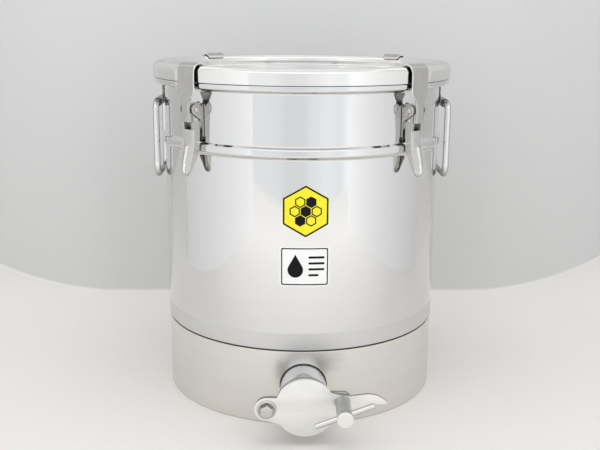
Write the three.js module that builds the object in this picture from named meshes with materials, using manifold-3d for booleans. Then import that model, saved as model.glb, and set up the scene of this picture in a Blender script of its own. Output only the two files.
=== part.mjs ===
// Stainless honey tank with a clamped lid, four latches, two drop handles and a swing-gate valve.
// Units are millimetres, +Z is up, -Y is the front, where the valve is, and +X is the right.
// The origin is the centre of the bounding box's bottom face; the barrel axis stands AXIS_Y
// behind it. Geometry is built round the barrel axis. Profile points are [radius, z] and
// [from, to] spans along Y are distances in front of that axis.
import * as THREE from 'three';
import { mergeVertices } from 'three/addons/utils/BufferGeometryUtils.js';
import Module from 'manifold-3d';

const wasm = await Module();
wasm.setup();

// ---- dimensions shared between sections ----
const BARREL_SEGMENTS = 48;
const WALL = 1.5;             // sheet thickness of barrel, skirt, lid
const GAP = 0.4;              // clearance between neighbouring sheets
const FIT = 0.3;              // clearance round pins and between valve parts

const BARREL_R = 180;         // outer radius of the barrel
const SPIGOT_R = 177.4;       // outer radius of the barrel inside the skirt
const SPIGOT_INNER_R = SPIGOT_R - WALL;
const SKIRT_TOP = 95.8;
const RIM_TOP = 416;          // top of the barrel's rolled rim
const LID_R = 193.3;          // outer radius of the lid's rim

const VALVE_Z = 50.4;         // height of the spout's axis
const SPOUT = [0, VALVE_Z];   // x and z of the spout's axis
const TUBE_R = 28;
const BORE_R = 25.5;
const FLANGE_BACK = 229;      // back face of the valve flange
const POST_FRONT = 284;       // front of the clamp post, the foremost point

const AXIS_Y = (POST_FRONT - LID_R) / 2;

// ---- solids and booleans ----
const radians = (degrees) => (degrees * Math.PI) / 180;

// closed solid from a geometry: vertices merged, collapsed triangles dropped, facing outwards
function solid(source) {
  const bare = source.clone();
  bare.deleteAttribute('normal');
  bare.deleteAttribute('uv');
  const merged = mergeVertices(bare, 1e-4);
  const positions = Float32Array.from(merged.attributes.position.array);
  const indices = merged.index.array;
  const corner = (index) => new THREE.Vector3().fromArray(positions, 3 * index);
  const kept = [];
  let volume = 0;
  for (let i = 0; i < indices.length; i += 3) {
    const [first, second, third] = indices.slice(i, i + 3);
    if (first === second || second === third || third === first) continue;
    kept.push(first, second, third);
    volume += corner(first).dot(corner(second).cross(corner(third)));
  }
  if (volume < 0) {
    for (let i = 0; i < kept.length; i += 3) {
      [kept[i + 1], kept[i + 2]] = [kept[i + 2], kept[i + 1]];
    }
  }
  return new wasm.Manifold(new wasm.Mesh({
    numProp: 3, vertProperties: positions, triVerts: Uint32Array.from(kept),
  }));
}

function geometry(manifold) {
  const mesh = manifold.getMesh();
  const result = new THREE.BufferGeometry();
  const positions = Float32Array.from(mesh.vertProperties);
  result.setAttribute('position', new THREE.BufferAttribute(positions, 3));
  result.setIndex(new THREE.BufferAttribute(Uint32Array.from(mesh.triVerts), 1));
  result.computeVertexNormals();
  return result;
}

const join = (...pieces) => geometry(pieces.map(solid).reduce((sum, piece) => sum.add(piece)));
const cut = (base, ...tools) => geometry(
  tools.reduce((rest, tool) => rest.subtract(solid(tool)), solid(base)),
);
const common = (one, other) => geometry(solid(one).intersect(solid(other)));

// ---- basic shapes ----
const across = (half) => [-half, half];

// turned body about Z
function turned(profile) {
  const points = profile.map(([radius, z]) => new THREE.Vector2(radius, z));
  return new THREE.LatheGeometry(points, BARREL_SEGMENTS).rotateX(Math.PI / 2);
}
const ring = (profile) => turned([...profile, profile[0]]);

// solid cylinder about Z that fits inside the barrel's lower end
const core = (radius, top = 120) => turned([[0, 0], [radius, 0], [radius, top], [0, top]]);

// cylinder along Y, centred on [x, z]
function rod([x, z], radius, [from, to], segments = 32) {
  return new THREE.CylinderGeometry(radius, radius, to - from, segments)
    .translate(x, -(from + to) / 2, z);
}

// cylinder along X, centred on [distance in front of the axis, z]
function pin([distance, z], radius, [from, to], segments = 12) {
  return new THREE.CylinderGeometry(radius, radius, to - from, segments)
    .rotateZ(Math.PI / 2)
    .translate((from + to) / 2, -distance, z);
}

function extruded(outline, depth, ...placement) {
  const shape = new THREE.Shape(outline.map(([x, y]) => new THREE.Vector2(x, y)));
  return new THREE.ExtrudeGeometry(shape, { depth, bevelEnabled: false })
    .applyMatrix4(new THREE.Matrix4().set(...placement));
}

// outline in [distance in front of the axis, z], extruded along X
const slab = (outline, [from, to]) => extruded(
  outline, to - from,
  0, 0, 1, from,
  -1, 0, 0, 0,
  0, 1, 0, 0,
  0, 0, 0, 1,
);
// outline in [x, z], extruded along Y
const plate = (outline, [from, to]) => extruded(
  outline, to - from,
  1, 0, 0, 0,
  0, 0, -1, -from,
  0, 1, 0, 0,
  0, 0, 0, 1,
);

// left and right slabs whose outer faces are half off the centre
const cheeks = (outline, half, thickness) => [
  slab(outline, [-half, -half + thickness]),
  slab(outline, [half - thickness, half]),
];

// points round a centre, angles in degrees
const arc = ([x, y], radius, start, end, steps) => Array.from({ length: steps + 1 }, (_, i) => {
  const angle = radians(start + ((end - start) * i) / steps);
  return [x + radius * Math.cos(angle), y + radius * Math.sin(angle)];
});

// ---- materials ----
const metal = ({ color, roughness }) => (
  new THREE.MeshStandardMaterial({ color, roughness, metalness: 1 })
);
const nonMetal = ({ color, roughness }) => (
  new THREE.MeshStandardMaterial({ color, roughness, metalness: 0 })
);
const MATERIAL = {
  polished: () => metal({ color: 0xe4e5e6, roughness: 0.12 }),
  satin: () => metal({ color: 0xbdb9b4, roughness: 0.38 }),
  pressed: () => metal({ color: 0xb3aea8, roughness: 0.32 }),
  turnedSteel: () => metal({ color: 0xc4c2bf, roughness: 0.28 }),
  rubber: () => nonMetal({ color: 0xd9d8d2, roughness: 0.7 }),
  yellow: () => nonMetal({ color: 0xf2e300, roughness: 0.35 }),
  white: () => nonMetal({ color: 0xf4f4f2, roughness: 0.35 }),
};

// ---- barrel, skirt, floor and spout tube ----
const BARREL_BOTTOM = 20;     // the barrel's lower edge, inside the skirt
const BEAD_Z = 335;           // centre height of the pressed bead
const BEAD_HALF = 8;          // half the bead's height
const BEAD_FLAT_HALF = 2.4;   // half the height of its flat crest
const BEAD_OUT = 4;           // how far the bead stands proud
const FLARE_Z = 404.5;        // where the flared rim starts
const SKIRT_R = 179.4;        // outer radius of the base skirt
const SKIRT_CHAMFER = 1.2;
const SKIRT_LIP_R = 163;      // inner radius of the skirt's foot lip
const FLOOR_FRONT = 23.2;     // height of the sloping floor's top at the front
const FLOOR_REAR = 86;        // and at the rear

const spoutHole = () => rod(SPOUT, TUBE_R + GAP, [150, 200]);

function barrel() {
  const innerR = BARREL_R - WALL;
  const beadOuter = [
    [BARREL_R, BEAD_Z - BEAD_HALF],
    [BARREL_R + BEAD_OUT, BEAD_Z - BEAD_FLAT_HALF],
    [BARREL_R + BEAD_OUT, BEAD_Z + BEAD_FLAT_HALF],
    [BARREL_R, BEAD_Z + BEAD_HALF],
  ];
  const beadInner = beadOuter.map(([radius, z]) => [radius - WALL, z]).reverse();
  const rim = [
    [183.2, 405.9], [192.6, 411.6], [192.8, 412.3], [191.2, 412.5],
    [191.1, 414.2], [189, RIM_TOP], [183.4, RIM_TOP], [181.4, 412.5],
  ];
  return cut(ring([
    [SPIGOT_R, BARREL_BOTTOM], [SPIGOT_R, SKIRT_TOP + GAP], [BARREL_R, SKIRT_TOP + GAP],
    ...beadOuter, [BARREL_R, FLARE_Z], ...rim, [innerR, 408.5], ...beadInner,
    [innerR, SKIRT_TOP + 2.2], [SPIGOT_INNER_R, SKIRT_TOP - 1], [SPIGOT_INNER_R, BARREL_BOTTOM],
  ]), spoutHole());
}

// skirt with its turned-in foot
const baseSkirt = () => cut(ring([
  [SKIRT_LIP_R, 0], [SKIRT_R - SKIRT_CHAMFER, 0], [SKIRT_R, SKIRT_CHAMFER], [SKIRT_R, SKIRT_TOP],
  [SPIGOT_R + GAP, SKIRT_TOP], [SPIGOT_R + GAP, WALL], [SKIRT_LIP_R, WALL],
]), spoutHole());

function slopedFloor() {
  const radius = SPIGOT_INNER_R - GAP;
  const side = 2 * radius + 60;   // reaches past the barrel all round
  const sheet = new THREE.BoxGeometry(side, side, WALL)
    .translate(0, 0, -WALL / 2)
    .rotateX(Math.atan((FLOOR_REAR - FLOOR_FRONT) / (2 * radius)))
    .translate(0, 0, (FLOOR_FRONT + FLOOR_REAR) / 2);
  return common(core(radius), sheet);
}

// tube whose rear end follows the barrel's inner wall
const spoutTube = () => cut(
  rod(SPOUT, TUBE_R, [160, FLANGE_BACK - FIT]),
  rod(SPOUT, BORE_R, [150, 240]),
  core(SPIGOT_INNER_R - 0.1),
);

// ---- lid and gasket ----
const LID_EDGE = 412.8;       // lower edge of the lid's rim
const LID_SHOULDER = 426.65;
const LID_CROWN = 432.1;
const LID_CROWN_R = 186;
const LID_PLATE = 417;        // top of the recessed lid plate
const LID_WALL_R = 178.5;     // inner wall of the lid's recess

// recessed plate, inner wall, rolled crown and outer rim in one pressing: underside, then top
const lid = () => turned([
  [0, LID_PLATE - WALL], [LID_WALL_R + 0.6, LID_PLATE - WALL],
  [LID_WALL_R + WALL, LID_PLATE - 0.4], [LID_WALL_R + WALL, 427.4],
  [LID_CROWN_R - 3, LID_CROWN - 2], [LID_CROWN_R + 2, LID_CROWN - 2],
  [LID_R - WALL, LID_SHOULDER - 0.9], [LID_R - WALL, LID_EDGE],

  [LID_R, LID_EDGE], [LID_R, LID_SHOULDER], [LID_R - 2.2, 429.8],
  [LID_CROWN_R + 2, LID_CROWN - 0.2], [LID_CROWN_R, LID_CROWN],
  [LID_WALL_R + 3, LID_CROWN - 1.2], [LID_WALL_R, 426.5],
  [LID_WALL_R, LID_PLATE + 1.5], [LID_WALL_R - 1.5, LID_PLATE], [0, LID_PLATE],
]);

const lidGasket = () => ring([
  [182, RIM_TOP + GAP], [190.2, RIM_TOP + GAP], [190.8, 424.4],
  [187.6, 428.8], [183.6, 428.8], [180.8, 425],
]);

// ---- over-centre latches, each built at the front and turned to its azimuth ----
// degrees round from the front towards the right, set by hand and so not quite even
const LATCH_AZIMUTH = { fl: -44.7, fr: 43.1, rl: -137.5, rr: 132.8 };
const LEVER_PIVOT = [190.6, 381.3]; // lever's pivot on the bracket, [radius, z]
const HOOK_PIVOT = [189.2, 369.7];  // hook's pivot on the lever
const LATCH_PIN_R = 1.9;
const PIN_HEAD_R = 3.1;
const PIN_OVERHANG = 1.4;     // lever pin beyond the bracket's cheeks
const LATCH_SHEET = 1.4;      // thickness of the lever and of the hook's folded edges
const BRACKET_BACK_R = 180.7;
const BRACKET_HALF = 11.6;    // half width over the bracket's cheeks
const LEVER_HALF = 8.9;       // half width over the lever's cheeks
const LEVER_TIP_R = 6.6;      // rounding of the finger tip, seen from the front
const HOOK_HALF = 14.3;       // half width of the hook where it grips the rim
const HOOK_TAIL_HALF = 7.1;   // half width of the hook between the lever's cheeks
const HOOK_FACE_R = 197.6;    // outer face of the hook strap at the rim
const HOOK_TAIL_R = 199.4;    // and between the lever's cheeks
const HOOK_TAIL_BOTTOM = 366.6;
const STRAP = 1.8;            // thickness of the hook strap
const HOOK_UNDER = 433.7;     // underside of the hook above the rim
const HOOK_TIP_R = 182.6;     // where the hook's tip ends
const TRIM_SPAN = [170, 210]; // reach of the front outlines that trim lever and hook

const pinHole = (pivot) => pin(pivot, LATCH_PIN_R + FIT, across(20));

function latchBracket() {
  const front = BRACKET_BACK_R + 1.4;
  const base = [[BRACKET_BACK_R, 348], [front, 348], [front, 388], [BRACKET_BACK_R, 388]];
  const cheek = [
    [BRACKET_BACK_R, 366.5], [182.5, 367], [196.4, 377.4], [197.5, 380.4], [197, 384],
    [194.6, 387.2], [190.6, 388.6], [187, 387.6], [183.4, 385], [BRACKET_BACK_R, 384.4],
  ];
  return cut(
    join(slab(base, across(BRACKET_HALF)), ...cheeks(cheek, BRACKET_HALF, WALL)),
    pinHole(LEVER_PIVOT),
  );
}

function latchLever() {
  const cheek = [
    [183.4, 366], [184, 350], [184.9, 343.5], [184.9, 334], [186.8, 328.5], [190.2, 320],
    [195.4, 312.8], [200.9, 312.5], [199.5, 320.5], [197, 330], [194.9, 343.5],
    [194.9, 358.5], [194.9, 370], ...arc(LEVER_PIVOT, 4.2, 10, 180, 5),
  ];
  // straight down, then leaning out to the finger tip, and back up the outer face
  const web = [
    [193.3, 358.5], [193.3, 343.3], [195.4, 329.6], [197.9, 320], [199.3, 312.2],
    [199.6, 306.7], [198.8, 303.4], [200.4, 303], [201.2, 306.5], [200.9, 312.5],
    [199.5, 320.5], [197, 330], [194.9, 343.5], [194.9, 358.5],
  ];
  // [x, z] seen from the front: the finger narrows and ends round
  const frontOutline = [
    [-LEVER_HALF, 400], [-LEVER_HALF, 344], [-6.8, 316],
    ...arc([0, 309.6], LEVER_TIP_R, 180, 360, 6),
    [6.8, 316], [LEVER_HALF, 344], [LEVER_HALF, 400],
  ];
  const channel = join(
    slab(web, across(LEVER_HALF)),
    ...cheeks(cheek, LEVER_HALF, LATCH_SHEET),
  );
  const trimmed = common(channel, plate(frontOutline, TRIM_SPAN));
  return cut(trimmed, pinHole(LEVER_PIVOT), pinHole(HOOK_PIVOT));
}

function latchHook() {
  const backR = HOOK_FACE_R - STRAP;
  const tailBackR = HOOK_TAIL_R - STRAP;
  const top = HOOK_UNDER + STRAP;
  const strap = [
    [backR, 401.4], [tailBackR, 386], [tailBackR, HOOK_TAIL_BOTTOM],
    [HOOK_TAIL_R, HOOK_TAIL_BOTTOM], [HOOK_TAIL_R, 386.2], [HOOK_FACE_R, 401.6],
    [HOOK_FACE_R, top - 4.2], [HOOK_FACE_R - 0.9, top - 2.2], [HOOK_FACE_R - 2.6, top - 0.6],
    [HOOK_FACE_R - 4.8, top], [HOOK_TIP_R, top], [HOOK_TIP_R, HOOK_UNDER],
    [HOOK_FACE_R - 5, HOOK_UNDER], [backR - 1.6, HOOK_UNDER - 1],
    [backR - 0.5, HOOK_UNDER - 2.2], [backR, HOOK_UNDER - 4],
  ];
  // [x, z] seen from the front: narrow tail, wide grip
  const rightEdge = [
    [HOOK_TAIL_HALF, 360], [HOOK_TAIL_HALF, 387], [HOOK_TAIL_HALF + 1.2, 391.5],
    [HOOK_HALF - 1.4, 400], [HOOK_HALF, 406], [HOOK_HALF, 440],
  ];
  const leftEdge = rightEdge.map(([x, z]) => [-x, z]).reverse();
  const frontOutline = [...rightEdge, ...leftEdge];
  // the tail's edges are folded back to the pivot
  const flange = [
    [tailBackR + 0.6, HOOK_TAIL_BOTTOM], ...arc(HOOK_PIVOT, 4.4, -45, -270, 8),
    [192, 374.2], [195, 378.5], [196.4, 389], [tailBackR - 0.4, 389.5],
  ];
  const trimmed = common(slab(strap, across(HOOK_HALF)), plate(frontOutline, TRIM_SPAN));
  return cut(
    join(trimmed, ...cheeks(flange, HOOK_TAIL_HALF, LATCH_SHEET)),
    pinHole(HOOK_PIVOT),
  );
}

function leverPin() {
  const end = BRACKET_HALF + PIN_OVERHANG;
  const headStart = BRACKET_HALF + FIT;
  return join(
    pin(LEVER_PIVOT, LATCH_PIN_R, across(end)),
    pin(LEVER_PIVOT, PIN_HEAD_R, [-end, -headStart]),
    pin(LEVER_PIVOT, PIN_HEAD_R, [headStart, end]),
  );
}

const hookPin = () => pin(HOOK_PIVOT, LATCH_PIN_R, across(LEVER_HALF + 0.2));

// ---- drop handles, built at the front and turned to the sides ----
const HANDLE_AZIMUTH = { left: -90, right: 90 };
const BAIL_R = 4;             // radius of the handle rod
const BAIL_PIVOT = [187, 379]; // handle's pivot, [radius, z]
const BAIL_HALF = 45;         // half the distance between the handle's legs
const BAIL_DROP = 92;         // pivot down to the grip's centre
const BAIL_CORNER = 7;        // length of each leg of a rounded corner
const BAIL_END = 0.8;         // the rod's ends stop this far either side of the middle
const KNUCKLE_R = 6;
const KNUCKLE_HALF = 21;

function handlePlate() {
  const back = [[181, 381], [182.8, 381], [182.8, 402.6], [181.9, 403.6], [181, 403.6]];
  const web = [[181, 378], [183, 375.6], [184.5, 384], [182.8, 389], [181, 389]];
  const width = across(KNUCKLE_HALF);
  return cut(
    join(slab(back, width), pin(BAIL_PIVOT, KNUCKLE_R, width, 16), slab(web, width)),
    pin(BAIL_PIVOT, BAIL_R + GAP, across(40), 16),
  );
}

function handleBail() {
  const [radius, top] = BAIL_PIVOT;
  const low = top - BAIL_DROP;
  const side = BAIL_HALF;
  const inset = side - BAIL_CORNER;
  // [x, z] clockwise from the middle: each corner is its start, control point and end
  const stops = [
    [BAIL_END, top],
    [inset, top], [side, top], [side, top - BAIL_CORNER],
    [side, low + BAIL_CORNER], [side, low], [inset, low],
    [-inset, low], [-side, low], [-side, low + BAIL_CORNER],
    [-side, top - BAIL_CORNER], [-side, top], [-inset, top],
    [-BAIL_END, top],
  ].map(([x, z]) => new THREE.Vector3(x, -radius, z));
  const extrudePath = new THREE.CurvePath();
  for (let i = 0; i < stops.length - 2; i += 3) {
    extrudePath.add(new THREE.LineCurve3(stops[i], stops[i + 1]));
    extrudePath.add(new THREE.QuadraticBezierCurve3(stops[i + 1], stops[i + 2], stops[i + 3]));
  }
  extrudePath.add(new THREE.LineCurve3(...stops.slice(-2)));
  const octagon = arc([0, 0], BAIL_R, 0, 315, 7).map(([x, y]) => new THREE.Vector2(x, y));
  return geometry(solid(new THREE.ExtrudeGeometry(
    new THREE.Shape(octagon),
    { steps: 38, extrudePath, bevelEnabled: false },
  )));
}

// ---- swing-gate valve ----
const VALVE_TILT = 5.6;       // degrees by which the line of pivot and stud rises to the right
const PIVOT_SPAN = 44.1;      // spout axis to pivot, and spout axis to stud
const SPAN_X = PIVOT_SPAN * Math.cos(radians(VALVE_TILT));
const SPAN_Z = PIVOT_SPAN * Math.sin(radians(VALVE_TILT));
const PIVOT = [-SPAN_X, VALVE_Z - SPAN_Z];
const STUD = [SPAN_X, VALVE_Z + SPAN_Z];

const PLATE = 3;              // thickness of flange and gate
const FLANGE_FRONT = FLANGE_BACK + PLATE;
const FLANGE_R = 33;
const PIVOT_EAR_R = 13.4;     // flange ear at the pivot
const STUD_EAR_R = 11.4;      // flange ear at the stud
const GATE_BACK = 233.6;
const GATE_FRONT = GATE_BACK + PLATE;
const GATE_R = 35.4;
const GATE_EAR_R = 14.2;
const SLOT_END = -22;         // degrees about the pivot at which the slot has run out
const BOLT_R = 4;
const BOLT_HOLE_R = 4.4;
const HEX_FLATS = 13;         // across flats of bolt head and nut
const STUD_R = 5;
const POST_BACK = 237;
const POST_R = 9.4;
const POST_HEAD = 4;          // length of the full-radius front end
const BAR_Y = 273;            // distance of the tommy bar in front of the barrel axis
const BAR_R = 3.1;
const BAR_LEN = 70.4;
const BAR_TILT = 20.8;        // degrees by which the bar rises to the right

// spans of the cutting tools, all longer than what they cut
const FLANGE_CUT = [220, 240];
const SEAL_CUT = [225, 245];
const GATE_CUT = [220, 250];
const NUT_CUT = [210, 240];

function valveFlange() {
  const span = [FLANGE_BACK, FLANGE_FRONT];
  const [pivotX, pivotZ] = PIVOT;
  const [studX, studZ] = STUD;
  const bridge = [
    [pivotX, pivotZ - PIVOT_EAR_R], [0, VALVE_Z - 25], [studX, studZ - STUD_EAR_R],
    [studX, studZ + STUD_EAR_R], [22, VALVE_Z + 17], [pivotX, pivotZ + PIVOT_EAR_R],
  ];
  return cut(
    join(
      rod(SPOUT, FLANGE_R, span, 40),
      rod(PIVOT, PIVOT_EAR_R, span, 24),
      rod(STUD, STUD_EAR_R, span, 24),
      plate(bridge, span),
    ),
    rod(SPOUT, BORE_R, FLANGE_CUT),
    rod(PIVOT, BOLT_HOLE_R, FLANGE_CUT, 20),
    rod(STUD, STUD_R + FIT, FLANGE_CUT, 20),
  );
}

const gateSeal = () => cut(
  rod(SPOUT, 30.6, [FLANGE_FRONT + FIT, GATE_BACK - FIT]),
  rod(SPOUT, 26.4, SEAL_CUT),
);

// slot for the stud: follows its arc about the pivot and runs out at the bottom
function gateSlot(halfWidth) {
  const radius = 2 * PIVOT_SPAN;
  return plate([
    ...arc(PIVOT, radius + halfWidth, VALVE_TILT, SLOT_END, 8),
    ...arc(PIVOT, radius - halfWidth, SLOT_END, VALVE_TILT, 8),
  ], GATE_CUT);
}

function gatePlate() {
  const span = [GATE_BACK, GATE_FRONT];
  const [pivotX, pivotZ] = PIVOT;
  const tab = [
    [pivotX, pivotZ - GATE_EAR_R], [-20, VALVE_Z - 26], [0, VALVE_Z],
    [-20, pivotZ + 14.6], [pivotX, pivotZ + GATE_EAR_R],
  ];
  // [x, z]: lower edge out to the tip on the right, then back along the upper edge
  const horn = [
    [20, 40], [34, 37.5], [50, 43], [62, 47.5], [72, 50.2], [82, 52], [90, 52.3], [95.2, 52.6],
    [95.8, 54.6], [93.6, 57.6], [88.5, 61.2], [82, 63.8], [75, 64.7], [66, 63.9], [53, 62.4],
    [40, 63.8], [30, 66.8], [20, 66],
  ];
  const slotHalf = STUD_R + 0.8;
  return cut(
    join(
      rod([0.8, VALVE_Z - 2.9], GATE_R, span, 40),
      rod(PIVOT, GATE_EAR_R, span, 24),
      plate(tab, span),
      plate(horn, span),
    ),
    gateSlot(slotHalf),
    rod(STUD, slotHalf, GATE_CUT, 20),
    rod(PIVOT, BOLT_HOLE_R, GATE_CUT, 20),
  );
}

const pivotHex = (span) => plate(arc(PIVOT, HEX_FLATS / Math.sqrt(3), 30, 330, 5), span);

const pivotWasher = () => cut(
  rod(PIVOT, 11.4, [GATE_FRONT + FIT, GATE_FRONT + 2.1], 24),
  rod(PIVOT, BOLT_HOLE_R, GATE_CUT, 20),
);

const pivotBolt = () => join(
  rod(PIVOT, BOLT_R, [FLANGE_BACK - 9.5, GATE_FRONT + 3], 20),
  pivotHex([GATE_FRONT + 2.4, GATE_FRONT + 7.9]),
);

const pivotNut = () => cut(
  pivotHex([FLANGE_BACK - 7, FLANGE_BACK - FIT]),
  rod(PIVOT, BOLT_R + FIT, NUT_CUT, 20),
);

const clampStud = () => join(
  rod(STUD, STUD_R, [FLANGE_BACK - 3, 266], 20),
  rod(STUD, 7.5, [FLANGE_BACK - 3.3, FLANGE_BACK - FIT], 20),
);

const crossBar = (radius, length) => new THREE.CylinderGeometry(radius, radius, length, 16)
  .rotateZ(Math.PI / 2)
  .rotateY(-radians(BAR_TILT))
  .translate(STUD[0], -BAR_Y, STUD[1]);

const clampPost = () => cut(
  join(
    rod(STUD, POST_R - 0.5, [POST_BACK, POST_FRONT - 3], 28),
    rod(STUD, POST_R, [POST_FRONT - POST_HEAD, POST_FRONT], 28),
  ),
  rod(STUD, STUD_R + FIT, [230, 267.5], 20),
  crossBar(BAR_R + FIT, 60),
);

const tommyBar = () => crossBar(BAR_R, BAR_LEN);

// ---- stickers that follow the barrel's curve ----
const FILM_INNER_R = BARREL_R + 0.35;
const FILM_OUTER_R = BARREL_R + 0.75;

// outline in [x, z]
function sticker(outline) {
  const film = ring([
    [FILM_INNER_R, 150], [FILM_OUTER_R, 150], [FILM_OUTER_R, 320], [FILM_INNER_R, 320],
  ]);
  return common(film, plate(outline, [100, 200]));
}

function hexLabel() {
  const [x, z] = [1.2, 267.8];
  const [halfWidth, halfHeight] = [27, 31];
  return sticker([
    [x, z + halfHeight], [x - halfWidth, z + halfHeight / 2], [x - halfWidth, z - halfHeight / 2],
    [x, z - halfHeight], [x + halfWidth, z - halfHeight / 2], [x + halfWidth, z + halfHeight / 2],
  ]);
}

// rectangle with clipped corners
function infoLabel() {
  const [bottom, top] = [177, 225.4];
  const [left, right] = [0.4 - 29.4, 0.4 + 29.4];
  const clip = 3;
  return sticker([
    [left + clip, bottom], [right - clip, bottom], [right, bottom + clip], [right, top - clip],
    [right - clip, top], [left + clip, top], [left, top - clip], [left, bottom + clip],
  ]);
}

// ---- assembly ----
const part = new THREE.Group();
const body = new THREE.Group();   // stands on the barrel axis
body.position.set(0, AXIS_Y, 0);
part.add(body);

function add(name, shape, material, parent = body) {
  const mesh = new THREE.Mesh(shape, material());
  mesh.name = name;
  parent.add(mesh);
}

// one copy of the pieces, [name, builder, material], at each azimuth
function addAround(azimuths, pieces) {
  for (const [key, azimuth] of Object.entries(azimuths)) {
    const group = new THREE.Group();
    group.rotation.z = radians(azimuth);
    body.add(group);
    for (const [name, build, material] of pieces) add(`${name}_${key}`, build(), material, group);
  }
}

const { polished, satin, pressed, turnedSteel, rubber, yellow, white } = MATERIAL;

add('tank_barrel', barrel(), polished);
add('base_skirt', baseSkirt(), satin);
add('sloped_floor', slopedFloor(), satin);
add('spout_tube', spoutTube(), turnedSteel);
add('lid', lid(), polished);
add('lid_gasket', lidGasket(), rubber);

addAround(LATCH_AZIMUTH, [
  ['latch_bracket', latchBracket, pressed],
  ['lever_pin', leverPin, turnedSteel],
  ['latch_lever', latchLever, pressed],
  ['hook_pin', hookPin, turnedSteel],
  ['latch_hook', latchHook, pressed],
]);
addAround(HANDLE_AZIMUTH, [
  ['handle_plate', handlePlate, pressed],
  ['handle_bail', handleBail, turnedSteel],
]);

add('valve_flange', valveFlange(), turnedSteel);
add('gate_seal', gateSeal(), rubber);
add('gate_plate', gatePlate(), turnedSteel);
add('pivot_washer', pivotWasher(), turnedSteel);
add('pivot_bolt', pivotBolt(), turnedSteel);
add('pivot_nut', pivotNut(), turnedSteel);
add('clamp_stud', clampStud(), turnedSteel);
add('clamp_post', clampPost(), turnedSteel);
add('tommy_bar', tommyBar(), turnedSteel);

add('hex_label', hexLabel(), yellow);
add('info_label', infoLabel(), white);

export default part;
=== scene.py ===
import math

import bmesh
import bpy
import numpy as np
from mathutils import Matrix, Vector
from mathutils.geometry import tessellate_polygon


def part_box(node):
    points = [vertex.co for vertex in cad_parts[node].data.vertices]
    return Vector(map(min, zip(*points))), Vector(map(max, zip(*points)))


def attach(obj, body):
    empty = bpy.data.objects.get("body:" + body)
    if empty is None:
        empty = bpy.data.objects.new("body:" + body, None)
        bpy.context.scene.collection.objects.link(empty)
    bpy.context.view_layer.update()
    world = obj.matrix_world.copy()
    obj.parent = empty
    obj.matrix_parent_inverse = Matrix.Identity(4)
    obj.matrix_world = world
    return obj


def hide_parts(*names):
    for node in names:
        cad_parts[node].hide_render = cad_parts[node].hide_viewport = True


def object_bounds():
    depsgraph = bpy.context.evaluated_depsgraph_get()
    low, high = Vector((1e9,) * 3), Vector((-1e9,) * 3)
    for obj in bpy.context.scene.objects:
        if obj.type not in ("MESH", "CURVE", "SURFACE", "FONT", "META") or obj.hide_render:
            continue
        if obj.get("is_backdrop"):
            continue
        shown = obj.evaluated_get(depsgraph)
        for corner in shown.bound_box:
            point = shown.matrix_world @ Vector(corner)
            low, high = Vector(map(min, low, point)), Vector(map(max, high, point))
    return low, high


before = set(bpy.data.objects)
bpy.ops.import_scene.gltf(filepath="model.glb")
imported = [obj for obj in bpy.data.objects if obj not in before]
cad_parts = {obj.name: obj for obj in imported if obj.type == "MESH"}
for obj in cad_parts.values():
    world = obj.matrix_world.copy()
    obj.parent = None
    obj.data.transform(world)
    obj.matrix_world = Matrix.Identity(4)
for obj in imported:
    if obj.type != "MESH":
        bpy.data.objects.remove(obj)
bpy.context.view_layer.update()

MM = 0.001
rad = math.radians

# ---------------------------------------------------------------- sizes shared by pieces
barrel_low, barrel_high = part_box("tank_barrel")
AXIS_Y = (barrel_low.y + barrel_high.y) / 2 / MM
AXIS_M = AXIS_Y * MM
BARREL_R = 180.0
BARREL_WALL = 1.5
BARREL_IN = BARREL_R - BARREL_WALL
SPIGOT_R = 177.4                          # lower end of the barrel, inside the skirt
SKIRT_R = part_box("base_skirt")[1].x / MM
SKIRT_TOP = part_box("base_skirt")[1].z / MM
SKIRT_IN = 177.8

LATCH_AZ = {"fl": -44.7, "fr": 43.1, "rl": -137.5, "rr": 132.8}   # degrees from the front
PIN_A = (190.6, 381.3)                    # lever pivot: radius, height
PIN_B = (189.2, 369.7)                    # hook pivot
PIN_HOLE_R = 2.05
BAIL = (187.0, 379.0)                     # pivot of the drop handles

VALVE_Z = 50.4
VALVE = (0.0, VALVE_Z)                    # spout axis: x, z
TILT = rad(5.6)                           # slope of the line from pivot to stud
SPAN = 44.1                               # spout axis to pivot, and to stud
PIVOT = (-SPAN * math.cos(TILT), VALVE_Z - SPAN * math.sin(TILT))
STUD = (SPAN * math.cos(TILT), VALVE_Z + SPAN * math.sin(TILT))
SPOUT_R, SPOUT_BORE = 28.0, 25.5
# distances in front of the barrel axis
FLANGE_BACK = 229.0
GATE_BACK = 233.6
PLATE = 3.0
GATE_FRONT = GATE_BACK + PLATE


# ---------------------------------------------------------------- mesh helpers
def obj_from(name, verts, faces, scale=MM):
    mesh = bpy.data.meshes.new(name)
    mesh.from_pydata([tuple(float(c) * scale for c in v) for v in verts], [],
                     [tuple(int(i) for i in f) for f in faces])
    mesh.update()
    obj = bpy.data.objects.new(name, mesh)
    bpy.context.scene.collection.objects.link(obj)
    return obj


def tidy(obj, weld=2e-6):
    """Welds close points (distance in metres) and turns the normals outward."""
    work = bmesh.new()
    work.from_mesh(obj.data)
    if weld:
        bmesh.ops.remove_doubles(work, verts=work.verts, dist=weld)
    bmesh.ops.dissolve_degenerate(work, edges=work.edges, dist=1e-7)
    bmesh.ops.recalc_face_normals(work, faces=work.faces)
    work.to_mesh(obj.data)
    work.free()
    return obj


def bake(obj):
    """Applies the modifiers."""
    graph = bpy.context.evaluated_depsgraph_get()
    mesh = bpy.data.meshes.new_from_object(obj.evaluated_get(graph))
    obj.modifiers.clear()
    obj.data = mesh
    return obj


def shade(obj, angle):
    """Smooth shading, sharp where faces meet at more than the angle in degrees."""
    mesh = obj.data
    mesh.polygons.foreach_set("use_smooth", [True] * len(mesh.polygons))
    mesh.set_sharp_from_angle(angle=rad(angle))
    mesh.update()
    return obj


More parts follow.
